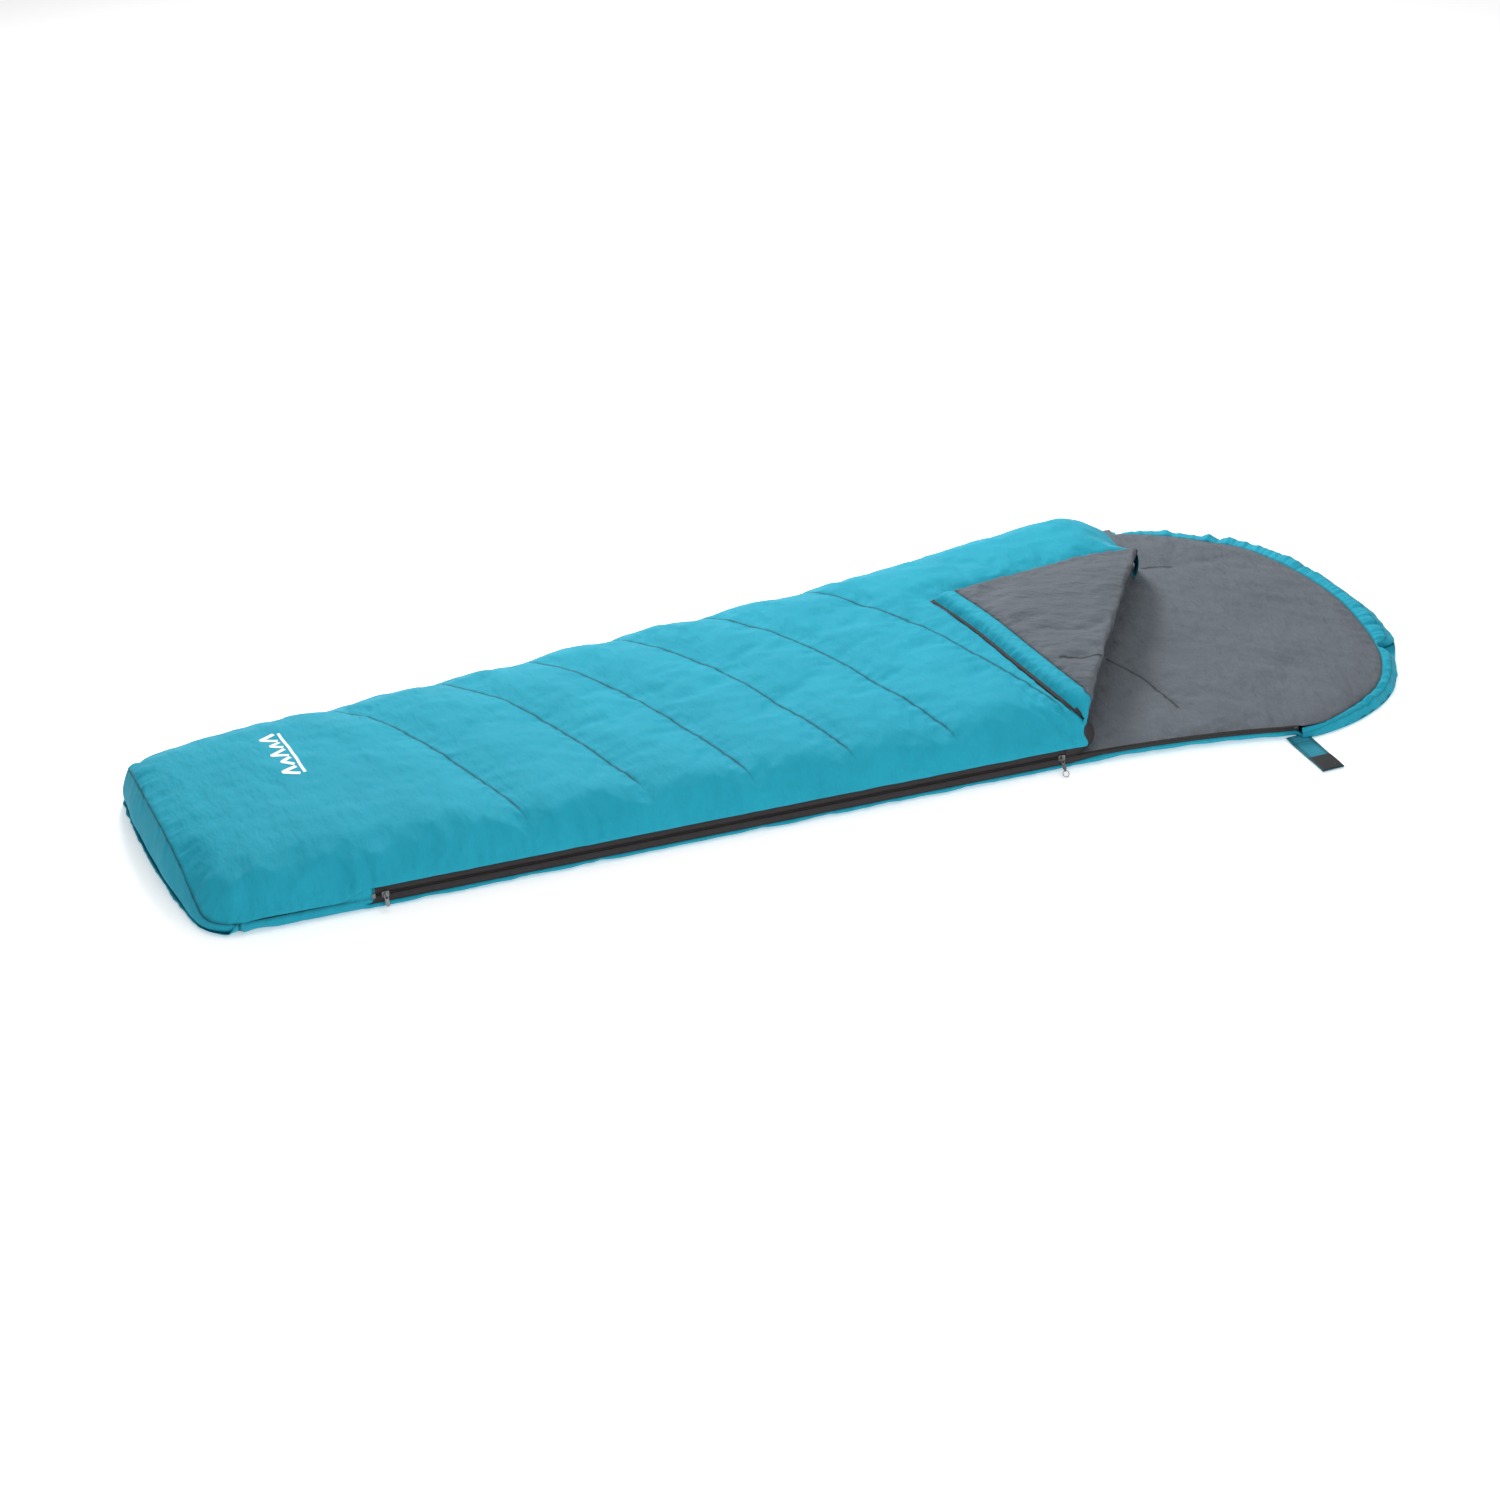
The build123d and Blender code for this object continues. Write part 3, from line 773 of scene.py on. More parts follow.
def build_cover():
    loop = arc_line(np.vstack([NEAR_EDGE, FOLD_EDGE, NECK_EDGE, FAR_EDGE[1:], FOOT_EDGE]))
    quilts = [arc_line(q) for q in QUILTS]
    band_x = np.linspace(-1030.0, 350.0, 160)
    band = np.stack([band_x, to_arc(band_x, -half_width(band_x) + 0.4) + 15.0], 1)
    flat, faces, edge, line = patch(loop, [*quilts, band], 8.5)
    x = flat[:, 0]
    y = from_arc(x, flat[:, 1])
    z = cover_z(x, y)
    seam = np.full(len(x), 1e9)
    for q in [*quilts, band]:
        seam = np.minimum(seam, line_distance(flat, q)[0])
    rim = line_distance(flat, loop, closed=True)[0]
    covered = under_flap(x, y)
    puff = 9.0 * rise(seam, 42.0) * rise(rim, 30.0) * (1 - 0.85 * covered)
    near_d = y + half_width(x)
    along_zip = smooth((x + 1040.0) / 60.0) * (1 - smooth((x - 300.0) / 60.0))
    puff += 4.0 * bell(near_d, 9.0, 9.0) * along_zip
    puff += 3.0 * ripple(x / 120.0, y / 90.0, 3.0) * rise(rim, 60.0) * (1 - covered)
    base = np.stack([x, y, z], 1)
    obj = make_mesh("cover", base, faces, flat)
    move_points(obj, base + normals_of(obj) * puff[:, None])
    pinned = edge | line | (covered > 0.9)
    inflate(obj, pinned, 1.6, 0.012, 6.0)
    refine(obj)
    flat = flat_of(obj)
    points = points_of(obj)
    normal = normals_of(obj)
    seam = np.full(len(flat), 1e9)
    along = np.zeros(len(flat))
    for q in quilts:
        d, a = line_distance(flat, q)
        d = d + 3.2 * (1 - smooth(a / 34.0))
        take_nearer(seam, along, d, a)
    rim_d, _ = line_distance(flat, arc_line(NEAR_EDGE))
    foot_d, foot_a = line_distance(flat, arc_line(FOOT_EDGE))
    tight = ripple(flat[:, 0] / 11.0, flat[:, 1] / 60.0, 1.0)
    loose = ripple(flat[:, 0] / 26.0, flat[:, 1] / 90.0, 5.0)
    lift = 2.4 * tight * bell(rim_d, 12.0, 14.0) * smooth(rim_d / 5.0)
    lift += 2.8 * loose * bell(rim_d, 40.0, 36.0)
    quilt_pull = ripple(along / 12.0, np.sign(flat[:, 0]) + along / 300.0, 9.0)
    lift += 1.1 * quilt_pull * bell(seam, 9.0, 9.0)
    pucker = ripple(foot_a / 17.0, foot_d / 70.0, 2.0) + 0.5 * ripple(foot_a / 9.0, foot_d / 50.0, 4.0)
    lift += 2.4 * pucker * bell(foot_d, 13.0, 18.0) * smooth(foot_d / 5.0)
    lift += 1.2 * ripple(points[:, 0] / 38.0, points[:, 1] / 26.0, 13.0) * smooth(rim_d / 40.0)
    corner_creases = np.zeros(len(points))
    for crease in NEAR_CREASES:
        gap, at = line_distance(points[:, :2], crease)
        run = at / steps_of(crease).sum()
        corner_creases -= 4.5 * bell(gap, 0.0, 5.5) * (1 - smooth(run)) * smooth(run / 0.06)
        corner_creases += 2.5 * bell(gap, 13.0, 7.0) * (1 - smooth(run))
    lift *= 1 - smooth(under_flap(points[:, 0], points[:, 1]))
    move_points(obj, points + normal * (lift + corner_creases)[:, None])
    foot_d = foot_d + 0.6
    take_nearer(seam, along, foot_d, foot_a)
    dress(obj, SHELL, "bag", seam, along)
    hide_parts("top_shell", "top_batting")
    return obj


# ---------------------------------------------------------------- inside of the cover
def mouth_z(x, y):
    """Height of the lining under the cover: level inside, and down to the seams at both sides."""
    near, far = y + half_width(x), far_width(x) - y
    edge = np.minimum(27.0, near_rim_z(x) - 7.0)
    z = MOUTH_Z - (MOUTH_Z - edge) * np.exp(-np.maximum(near - 3, 0) / 16.0)
    z -= (MOUTH_Z - 20.0) * np.exp(-np.maximum(far - 3, 0) / 16.0)
    z -= (MOUTH_Z - 26.0) * np.exp(-np.maximum(x - foot_x(y) - 6, 0) / 14.0)
    return z


def foot_inside(inset):
    """The foot's outline, moved inside it."""
    foot = FOOT_EDGE - (0.0, FOOT_MID)
    return foot * (1.0, 0.985) + (inset, FOOT_MID)


def build_cover_lining():
    near = NEAR_EDGE + (0.0, 3.2)
    far = FAR_EDGE - (0.0, 3.2)
    foot = foot_inside(7.0)
    loop = np.vstack([near, FOLD_EDGE[1:], NECK_EDGE[:-1], far[1:], foot])
    flat, faces, edge, _ = patch(loop, [], 17.0)
    x, y = flat.T
    z = mouth_z(x, y) + 1.5 * ripple(x / 70.0, y / 70.0, 4.0) * ~edge
    faces = [f[::-1] for f in faces]
    obj = make_mesh("cover_lining", np.stack([x, y, z], 1), faces, flat)
    dress(obj, LINING, "bag")
    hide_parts("top_lining", "foot_lining", "foot_batting")
    return obj


# ---------------------------------------------------------------- under side and hood
HOOD_LINING = [
    (795.0, 372.0), (838.0, 356.0), (893.0, 322.0), (945.0, 277.0), (1000.0, 214.0), (1036.0, 110.0),
    (1049.0, -10.0), (1035.0, -120.0), (1010.0, -212.0), (970.0, -280.0), (925.0, -322.0),
    (862.0, -355.0), (800.0, -377.0), (752.0, -379.0),
]
HEM_OUTER = [
    (796.0, 384.0), (845.0, 383.0), (902.0, 364.0), (963.0, 318.0), (1022.0, 276.0), (1070.0, 190.0),
    (1088.0, 96.0), (1096.0, 0.0), (1094.0, -82.0), (1076.0, -160.0), (1040.0, -222.0),
    (1002.0, -284.0), (958.0, -328.0), (905.0, -358.0), (850.0, -377.0), (790.0, -386.0), (752.0, -384.0),
]
INNER_SEAM = [(560.0, -30.0), (583.0, -110.0), (592.0, -170.0), (594.0, -238.0)]


DIAGONAL = np.array([[0.82, 0.57], [0.57, -0.82]])


def build_under_lining():
    """The padded lining that one lies on, from the foot to the hood."""
    near_x = np.linspace(FOOT_BLEND_X, 748.0, 300)
    near = np.stack([near_x, -half_width(near_x) + 3.4], 1)
    hood = curve_through(HOOD_LINING[::-1], 8.0)
    far_x = np.linspace(790.0, FOOT_BLEND_X, 300)
    far = np.stack([far_x, far_width(far_x) - 3.4 - 9.0 * smooth((far_x - 700) / 90.0)], 1)
    foot = foot_inside(8.0)
    loop = np.vstack([near, hood, far, foot])
    seam_line = curve_through(INNER_SEAM, 8.0)
    far_seam = curve_through([(790.0, 232.0), (812.0, 224.0), (838.0, 214.0)], 8.0)

    def sparse(grid):
        open_part = grid[:, 0] > 300.0
        k = np.arange(len(grid))
        return open_part | (k % 7 == 0)

    flat, faces, edge, line = patch(loop, [seam_line, far_seam], 9.0, sparse)
    x, y = flat.T
    rim = line_distance(flat, resample(loop, 20.0, closed=True), closed=True)[0]
    seam = np.minimum(line_distance(flat, seam_line)[0], line_distance(flat, far_seam)[0])
    level = LINING_Z + 1.0 - 2.5 * smooth((x - 740.0) / 60.0)
    open_part = smooth((x - 330.0) / 120.0)
    puff = 7.0 * rise(rim, 26.0) * rise(seam, 30.0) * open_part
    puff += 2.4 * ripple(x / 120.0, y / 95.0, 6.0) * rise(rim, 50.0) * open_part
    hidden = under_flap(x, y, 40.0)
    puff *= 1 - 0.5 * hidden
    obj = make_mesh("under_lining", np.stack([x, y, level + puff], 1), faces, flat)
    inflate(obj, edge | line | (x < 420.0), 1.0, 0.012, 5.0, bending=0.5)
    refine(obj)
    flat = flat_of(obj)
    points = points_of(obj)
    rim = line_distance(flat, resample(loop, 20.0, closed=True), closed=True)
    tight = ripple(rim[1] / 14.0, rim[0] / 70.0, 7.0)
    across, down = (flat @ DIAGONAL).T
    soft = ripple(across / 20.0, down / 75.0, 10.0) * (0.5 + 0.5 * ripple(flat[:, 0] / 150.0, flat[:, 1] / 150.0, 20.0))
    lift = 3.6 * soft * rise(rim[0], 40.0) + 1.3 * tight * bell(rim[0], 12.0, 16.0) * smooth(rim[0] / 5.0)
    seam, along = line_distance(flat, seam_line)
    lift += 1.2 * ripple(along / 13.0, 0 * along, 8.0) * bell(seam, 8.0, 8.0)
    points[:, 2] += lift * smooth((points[:, 0] - 330.0) / 60.0)
    move_points(obj, points)
    far_d, far_a = line_distance(flat, far_seam)
    take_nearer(seam, along, far_d, far_a)
    hood_d, hood_a = line_distance(flat, hood)
    take_nearer(seam, along, hood_d + 1.0, hood_a)
    dress(obj, LINING, "bag", seam, along)
    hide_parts("bottom_lining", "bottom_batting")
    return obj


def tray_outline():
    """The under side's outline in plan, round the whole bag, counter-clockwise from the foot's near corner."""
    near_x = np.linspace(FOOT_BLEND_X, 752.0, 320)
    near = np.stack([near_x, -half_width(near_x)], 1)
    hood = curve_through(HEM_OUTER[::-1], 8.0)
    far_x = np.linspace(790.0, FOOT_BLEND_X, 320)
    far = np.stack([far_x, far_width(far_x)], 1)
    foot_y = np.linspace(FOOT_FAR_Y, FOOT_NEAR_Y, 100)[1:-1]
    foot = np.stack([foot_x(foot_y), foot_y], 1)
    return resample(np.vstack([near, hood, far, foot]), 5.0, closed=True)


def outward(loop):
    """Unit vectors that point out of a counter-clockwise loop."""
    d = np.roll(loop, -3, 0) - np.roll(loop, 3, 0)
    return unit(np.stack([d[:, 1], -d[:, 0]], 1))


def build_tray():
    loop = tray_outline()
    out = outward(loop)
    x, y = loop.T
    n = len(loop)
    run = np.arange(n) * 5.0
    hood = smooth((x - 742.0) / 20.0)
    before_zip = (1 - smooth((x + 862.0) / 14.0)) * (y < 0)
    far = (y > 0) * 1.0
    foot = 1 - smooth((x + 1072.0) / 14.0)
    tape_foot = tape_foot_z(x) + 0.6
    top = tape_foot + (BEFORE_ZIP_Z - tape_foot) * before_zip
    top = top * (1 - hood) + 4.0 * hood
    top = top * (1 - foot) + 5.0 * foot
    wrinkle = ripple(run / 17.0, run * 0, 11.0)
    broad = ripple(run / 55.0, run * 0, 12.0)
    near = (1 - far) * (1 - hood) * (1 - foot)
    tuck = (2.5 * smooth((x + 700.0) / 200.0) + 4.0 * smooth((x - 370.0) / 110.0)) * (y < 0) * (1 - hood)
    tuck += 8.0 * bell(y, -215.0, 40.0) * (x < -1050.0)
    rows = []
    profile = [(0.0, -46.0), (0.0, -24.0), (0.02, -10.0), (0.1, -4.0), (0.28, 0.2), (0.52, 1.9), (0.78, 1.2), (1.0, -0.8)]
    for share, offset in profile:
        bulge = math.sin(math.pi * min(1.0, share)) if share else 0.0
        off = offset + bulge * (1.8 * wrinkle + 1.6 * broad) + (3.2 * broad + 1.0 * wrinkle) * near * (share < 0.3)
        off = off - tuck * (1 - share)
        off = off * (1 - hood) + (min(offset, -2.0)) * hood
        z = top * share + 0.5 + (1.2 * wrinkle + 1.6 * np.abs(broad)) * near * (share < 0.5) * (share > 0.0)
        rows.append(np.c_[loop + out * off[:, None], z])
    rows = by_station(rows)
    length = np.array([0, 22, 36, 42, 48, 52, 56, 60.0])
    flat = spread(run, length)
    obj = grid_mesh("under_shell", rows, closed_u=True, flat=flat)
    mesh = obj.data
    bm_points = [tuple(v.co) for v in mesh.vertices]
    faces = [tuple(p.vertices) for p in mesh.polygons]
    inner = [i * len(profile) for i in range(n)]
    faces.append(tuple(inner))
    flat = flat_of(obj)
    bpy.data.objects.remove(obj)
    obj = make_mesh("under_shell", np.array(bm_points) / MM, faces, flat)
    obj.data.polygons[len(faces) - 1].use_smooth = False
    seam = np.tile(np.array([60, 40, 30, 24, 16, 9, 4, 0.6]), n)
    dress(obj, SHELL, "bag", seam, flat[:, 0])
    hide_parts("bottom_shell")
    return obj


def build_gusset():
    """The lens-shaped panel that closes the foot."""
    y = np.linspace(FOOT_NEAR_Y + 1, FOOT_FAR_Y - 1, 150)
    edge = np.stack([foot_x(y), y], 1)
    run = run_along(edge)
    out = -right_of(edge)
    top = foot_seam_z(y)
    rows = []
    shares = np.array([0.0, 0.03, 0.08, 0.16, 0.28, 0.42, 0.56, 0.7, 0.82, 0.91, 0.97, 1.0])
    pucker = ripple(run / 15.0, run * 0, 21.0)
    broad = ripple(run / 60.0, run * 0, 22.0)
    for s in shares:
        belly = math.sin(math.pi * s**0.8) * 7.0 - (1 - s) ** 6 * 7.0
        belly = belly - 11.0 * (1 - s) ** 1.5 * bell(y, -225.0, 45.0) / np.clip(top / 80.0, 0.2, 1.0)
        fold = 2.6 * pucker * math.exp(-(((s - 0.85) / 0.16) ** 2)) + 2.6 * broad * math.sin(math.pi * s)
        tall = np.clip(top / 80.0, 0.2, 1.0)
        off = (belly + fold) * tall if s < 1 else 0.0 * run
        off = off - FOOT_LEAN * s * top / FOOT_SEAM_TOP
        z = 0.6 + (top - 0.6) * s
        rows.append(np.c_[edge + out * off[:, None], z])
    rows = by_station(rows)
    flat = np.stack([np.repeat(run[:, None], len(shares), 1), top[:, None] * shares[None]], 2)
    obj = grid_mesh("foot_gusset", rows, flat=flat)
    refine(obj)
    flat = flat_of(obj)
    seam = np.abs(np.interp(flat[:, 0], run, top) - flat[:, 1])
    dress(obj, SHELL, "bag", seam, flat[:, 0])
    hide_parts("foot_panel")
    return obj


def build_hem():
    """The gathered hem round the hood, puckered on its draw elastic."""
    inner = curve_through(HOOD_LINING[::-1], 4.0)
    outer = curve_through(HEM_OUTER[::-1], 4.0)
    n = 460
    inner, outer = resample_to(inner, n), resample_to(outer, n)
    n = min(len(inner), len(outer))
    inner, outer = inner[:n], outer[:n]
    run = run_along(outer)
    share = run / run[-1]
    body = smooth(share / 0.07) * smooth((1 - share) / 0.05)
    gather = ripple(run / 21.0, run * 0, 31.0)
    tight = ripple(run / 9.0, run * 0, 32.0)
    scallop = np.abs(ripple(run / 46.0, run * 0, 33.0))
    notch = bell(outer[:, 1], -192.0, 15.0) * (outer[:, 0] > 1000.0)
    out = right_of(outer)
    across = np.linspace(0, 1, 13)
    rows = []
    for t in across:
        mid = inner * (1 - t) + outer * t
        push = (5.0 * scallop - 2.5 + 2.0 * gather) * t**2 - 30.0 * notch * t
        roll = math.sin(math.pi * min(1.0, t * 1.05))
        z = 21.5 * (1 - t) + 7.0 * t + body * (7.5 * roll + (4.2 * gather + 1.8 * tight) * math.sin(math.pi * t) ** 0.7)
        z = z * (1 - 0.35 * notch * t)
        rows.append(np.c_[mid + out * (push * body)[:, None], z])
    for drop, back in ((4.0, 0.3), (1.8, -3.0), (0.8, -10.0), (0.7, -26.0)):
        push = 5.0 * scallop - 2.5 + 2.0 * gather - 30.0 * notch
        rows.append(np.c_[outer + out * (push * body + back)[:, None], np.full(n, drop)])
    rows = by_station(rows)
    wide = np.r_[across * 55.0, 60.0, 64.0, 72.0, 88.0]
    flat = spread(run, wide)
    obj = grid_mesh("hood_hem", rows, flat=flat)
    flip(obj)
    refine(obj)
    flat = flat_of(obj)
    seam = np.minimum(np.abs(flat[:, 1] - 1.0), np.abs(flat[:, 1] - 34.0) + 1.2)
    dress(obj, SHELL, "bag", seam, flat[:, 0])
    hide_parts("hood_hem", "hood_elastic")
    obj.name = "gathered_hem"
    return obj


# ---------------------------------------------------------------- folded corner
FLAP_UNDER, FLAP_THICK = 3.0, 14.0


def blend_across(obj):
    """Bakes the piece's transform into its mesh; the piece lies round the fold between the bag and the folded corner.
    """
    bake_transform(obj)


def flap_top(x, y):
    """Top of the folded corner, with rolled edges along its zip and neck sides."""
    p = np.stack([x, y], 1)
    zip_gap, _ = line_distance(p, FLAP_ZIP)
    neck = np.array([FLAP_ZIP[-1], fold_point(FOLD_LENGTH, FOLD_GAP)])
    neck_gap, _ = line_distance(p, neck)
    thick = FLAP_THICK * np.sqrt(np.clip(1 - (1 - np.clip(zip_gap / 13.0, 0, 1)) ** 2, 0, 1))
    thick *= 0.25 + 0.75 * np.sqrt(np.clip(1 - (1 - np.clip(neck_gap / 12.0, 0, 1)) ** 2, 0, 1))
    roll = 3.0 * bell(zip_gap, 19.0, 11.0) - 4.5 * bell(zip_gap, 40.0, 6.0)
    swell = 3.0 * rise(np.maximum(zip_gap - 40.0, 0), 30.0) * rise(neck_gap, 30.0)
    return cover_z(x, y) + FLAP_UNDER + thick + roll * smooth(neck_gap / 18.0) + swell


NOSE_STEPS = 40


def nose_profile(along):
    """Round the fold, from the folded corner's top to the lining under the cover, as (forward, z)."""
    x, y = fold_point(along, FOLD_GAP)
    top = float(flap_top(np.array([x]), np.array([y]))[0])
    low = float(mouth_z(np.array([x]), np.array([y]))[0])
    tall = top - low
    drop = 8.0 * float(smooth(along / 90.0)) * float(smooth((FOLD_LENGTH - along) / 80.0))
    sway = 2.0 * math.sin(along / 47.0) * float(smooth(along / 60.0))
    return curve_through(
        [
            (-FOLD_GAP, top),
            (-2.5, top - 1.2),
            (-0.6, top - 4.5),
            (-1.0 + 0.3 * sway, top - 0.2 * tall),
            (-6.0 + sway, low + 0.5 * tall),
            (-13.0 + sway, low + 0.2 * tall - drop * 0.5),
            (-21.0, low - drop * 0.6),
            (-31.0, low),
        ],
        0.8,
    )


NOSE_SPACING = 9.85
NOSE_S = np.arange(0.0, FOLD_LENGTH + 1, NOSE_SPACING)
NOSES = [nose_profile(s) for s in NOSE_S]
NOSE_LENGTHS = np.array([steps_of(p).sum() for p in NOSES])
NOSE_TABLE = np.array(
    [resample(p, length / NOSE_STEPS)[: NOSE_STEPS + 1] for p, length in zip(NOSES, NOSE_LENGTHS)]
)


def from_fold(flat):
    """Flat cloth position (along the fold, behind it) to its place at rest, over the top or round the nose."""
    s, q = flat[:, 0], flat[:, 1]
    plan = FOLD_N + s[:, None] * FOLD_ALONG + q[:, None] * FOLD_BACK
    z = flap_top(plan[:, 0], plan[:, 1])
    top = np.c_[plan, z]
    f = np.clip(s / NOSE_SPACING, 0, len(NOSE_S) - 1.001)
    i = f.astype(int)
    f -= i
    length = NOSE_LENGTHS[i] * (1 - f) + NOSE_LENGTHS[i + 1] * f
    g = np.clip((FOLD_GAP - q) / length, 0, 0.9999) * NOSE_STEPS
    j = g.astype(int)
    g -= j
    low = NOSE_TABLE[i, j] * (1 - g)[:, None] + NOSE_TABLE[i, j + 1] * g[:, None]
    high = NOSE_TABLE[i + 1, j] * (1 - g)[:, None] + NOSE_TABLE[i + 1, j + 1] * g[:, None]
    forward, height = (low * (1 - f)[:, None] + high * f[:, None]).T
    nose_plan = FOLD_N + s[:, None] * FOLD_ALONG - forward[:, None] * FOLD_BACK
    nose = np.c_[nose_plan, height]
    return np.where((q < FOLD_GAP)[:, None], nose, top)


def nose_length(s):
    return np.interp(s, NOSE_S, NOSE_LENGTHS)


def zip_offset(inset):
    """The folded corner's zip edge moved into the flap, in flat fold coordinates."""
    moved = FLAP_ZIP + right_of(FLAP_ZIP) * inset
    s, q = fold_frame(moved[:, 0], moved[:, 1])
    return np.stack([s, q], 1)


FACING = 38.0


def build_flap_top():
    """The lining and the rolled facing of the folded corner, each with its part of the nose."""
    far = np.array([FOLD_LENGTH, FOLD_GAP])
    corner_s, corner_q = fold_frame(*FLAP_ZIP[-1])
    border = zip_offset(FACING)
    border = border[(border[:, 1] > 12.0)]
    neck_dir = far - np.array([corner_s, corner_q])
    border[-1] = np.array([corner_s, corner_q]) + neck_dir / np.linalg.norm(neck_dir) * (FACING + 2)
    down = np.array([[FACING, q] for q in np.linspace(10.0, FOLD_GAP - float(nose_length(FACING)) + 0.5, 9)])
    bottom_s = np.linspace(FACING, FOLD_LENGTH, 60)
    bottom = np.stack([bottom_s, FOLD_GAP - nose_length(bottom_s) + 0.5], 1)
    seam_border = np.vstack([down[::-1], border])
    crease = [fold_frame(*p) for p in ((417.0, -140.0), (450.0, -158.0), (483.0, -166.0))]
    crease = curve_through([(float(a), float(b)) for a, b in crease], 8.0)

    lining_loop = np.vstack([bottom, [far], border[::-1][:-1], down])
    out = {}
    zip_line = zip_offset(0.0)
    zip_line[0] = (0.0, FOLD_GAP)
    zip_down = np.array([[0.0, q] for q in np.linspace(FOLD_GAP, FOLD_GAP - float(nose_length(0.0)) + 0.5, 6)])[1:]
    facing_bottom_s = np.linspace(0.0, FACING, 5)
    facing_bottom = np.stack([facing_bottom_s, FOLD_GAP - nose_length(facing_bottom_s) + 0.5], 1)[1:]
    facing_loop = np.vstack([zip_down, facing_bottom, down[::-1][1:], border, zip_line[::-1]])
    for name, loop, lines, material, slot, nodes in (
        ("flap_lining_panel", lining_loop, [crease], LINING, "lining", ("flap_lining",)),
        ("flap_facing_roll", facing_loop, [], SHELL, "shell", ("flap_facing", "flap_batting")),
    ):
        flat, faces, edge, line = patch(loop, lines, 7.5)
        place = from_fold(flat)
        obj = make_mesh(name, place, faces, flat)
        face_up(obj)
        border_d, border_a = line_distance(flat, seam_border)
        pinned = edge | line | (flat[:, 1] < FOLD_GAP - 0.75 * nose_length(flat[:, 0]))
        if name == "flap_lining_panel":
            rim = line_distance(flat, loop, closed=True)[0]
            crease_d = line_distance(flat, crease)[0]
            on_top = smooth((flat[:, 1] - FOLD_GAP) / 25.0)
            puff = 2.4 * ripple(flat[:, 0] / 90.0, flat[:, 1] / 70.0, 14.0) * rise(rim, 30.0)
            puff -= 2.5 * bell(crease_d, 0.0, 12.0)
            place = place + normals_of(obj) * (puff * on_top)[:, None]
            move_points(obj, place)
            inflate(obj, pinned, 0.8, 0.014, 4.0, bending=0.5)
        else:
            inflate(obj, pinned, 1.2, 0.012, 2.5, bending=0.5)
        refine(obj)
        flat = flat_of(obj)
        points, normal = points_of(obj), normals_of(obj)
        border_d, border_a = line_distance(flat, seam_border)
        zip_d, zip_a = line_distance(flat, zip_line)
        tug = ripple(border_a / 11.0, border_d / 80.0, 15.0)
        lift = 1.2 * tug * bell(border_d, 9.0, 10.0) * smooth(border_d / 4.0)
        if name == "flap_facing_roll":
            lift += 1.0 * ripple(zip_a / 10.0, zip_d / 60.0, 16.0) * bell(zip_d, 9.0, 8.0) * smooth(zip_d / 4.0)
        else:
            neck_d, neck_a = line_distance(flat, [border[-1], far])
            lift += 1.5 * ripple(neck_a / 13.0, neck_d / 60.0, 17.0) * bell(neck_d, 11.0, 12.0) * smooth(neck_d / 4.0)
        if name == "flap_lining_panel":
            soft = ripple((flat[:, 0] + flat[:, 1]) / 34.0, (flat[:, 0] - flat[:, 1]) / 90.0, 19.0)
            lift += 1.6 * soft * rise(border_d, 25.0) * smooth(neck_d / 25.0)
        move_points(obj, points + normal * lift[:, None])
        seam, along = border_d, border_a
        if name == "flap_lining_panel":
            d, a = line_distance(flat, crease)
            take_nearer(seam, along, d, a)
        dress(obj, material, None, seam, along)
        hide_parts(*nodes)
        blend_across(obj)
        out[name] = obj
    return out


def build_fold_ends():
    """Rounded ends that close the fold's two ends."""
    for name, s, outward_step, material, slot in (
        ("fold_end_near", 0.5, -1.0, SHELL, "shell"),
        ("fold_end_far", FOLD_LENGTH - 0.5, 1.0, LINING, "lining"),
    ):
        profile = np.array(nose_profile(s))[::4]
        middle = profile.mean(0)
        rows = []
        for k in range(6):
            a = math.pi / 2 * k / 5
            ring = middle + (profile - middle) * max(math.cos(a), 0.02)
            out = s + outward_step * 5.0 * math.sin(a)
            rows.append([(*fold_point(out, -f), z) for f, z in ring])
        rows = np.array(rows)
        flat = np.stack(np.meshgrid(np.arange(6) * 6.0, np.arange(len(profile)) * 4.0, indexing="ij"), 2)
        obj = grid_mesh(name, rows, flat=flat)
        if (normals_of(obj).mean(0)[:2] @ FOLD_ALONG) * outward_step < 0:
            flip(obj)
        dress(obj, material)
        blend_across(obj)


def build_flap_under():
    """The shell side of the folded corner, face down on the cover."""
    loop = FLAP_LOOP
    flat, faces, edge, _ = patch(loop, [], 12.0)
    x, y = flat.T
    z = cover_z(x, y) + FLAP_UNDER + 0.6 * ripple(x / 60.0, y / 60.0, 18.0) * ~edge
    z[~edge] -= 0.5
    obj = make_mesh("flap_under_shell", np.stack([x, y, z], 1), [f[::-1] for f in faces], flat)
    refine(obj)
    flat = flat_of(obj)
    d, a = line_distance(flat, loop, closed=True)
    dress(obj, SHELL, "flap", d + 0.5, a)
    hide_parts("flap_shell")
    return obj


def build_fold_inside():
    """The shell inside the fold, in two lengths."""
    for name, s0, s1 in (("fold_shell_near", 1.0, 120.0), ("fold_shell_far", 120.0, 560.0)):
        s = np.linspace(s0, s1, max(12, int((s1 - s0) / 8)))
        rows = []
        for a in s:
            x, y = fold_point(a, FOLD_GAP)
            h = float(cover_z(np.array([x]), np.array([y]))[0])
            shape = [(-16.0, h - 6), (-12.0, h - 4), (-8.5, h - 1), (-8.0, h + 1.0), (-8.5, h + 2.5), (-12.0, h + 3), (-16.0, h + 3)]
            rows.append([(*fold_point(a, -f), z) for f, z in shape])
        rows = np.array(rows)
        length = np.array([0, 5, 10, 13, 16, 21, 26.0])
        flat = spread(s, length)
        obj = grid_mesh(name, rows, flat=flat)
        dress(obj, SHELL)
        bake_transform(obj)


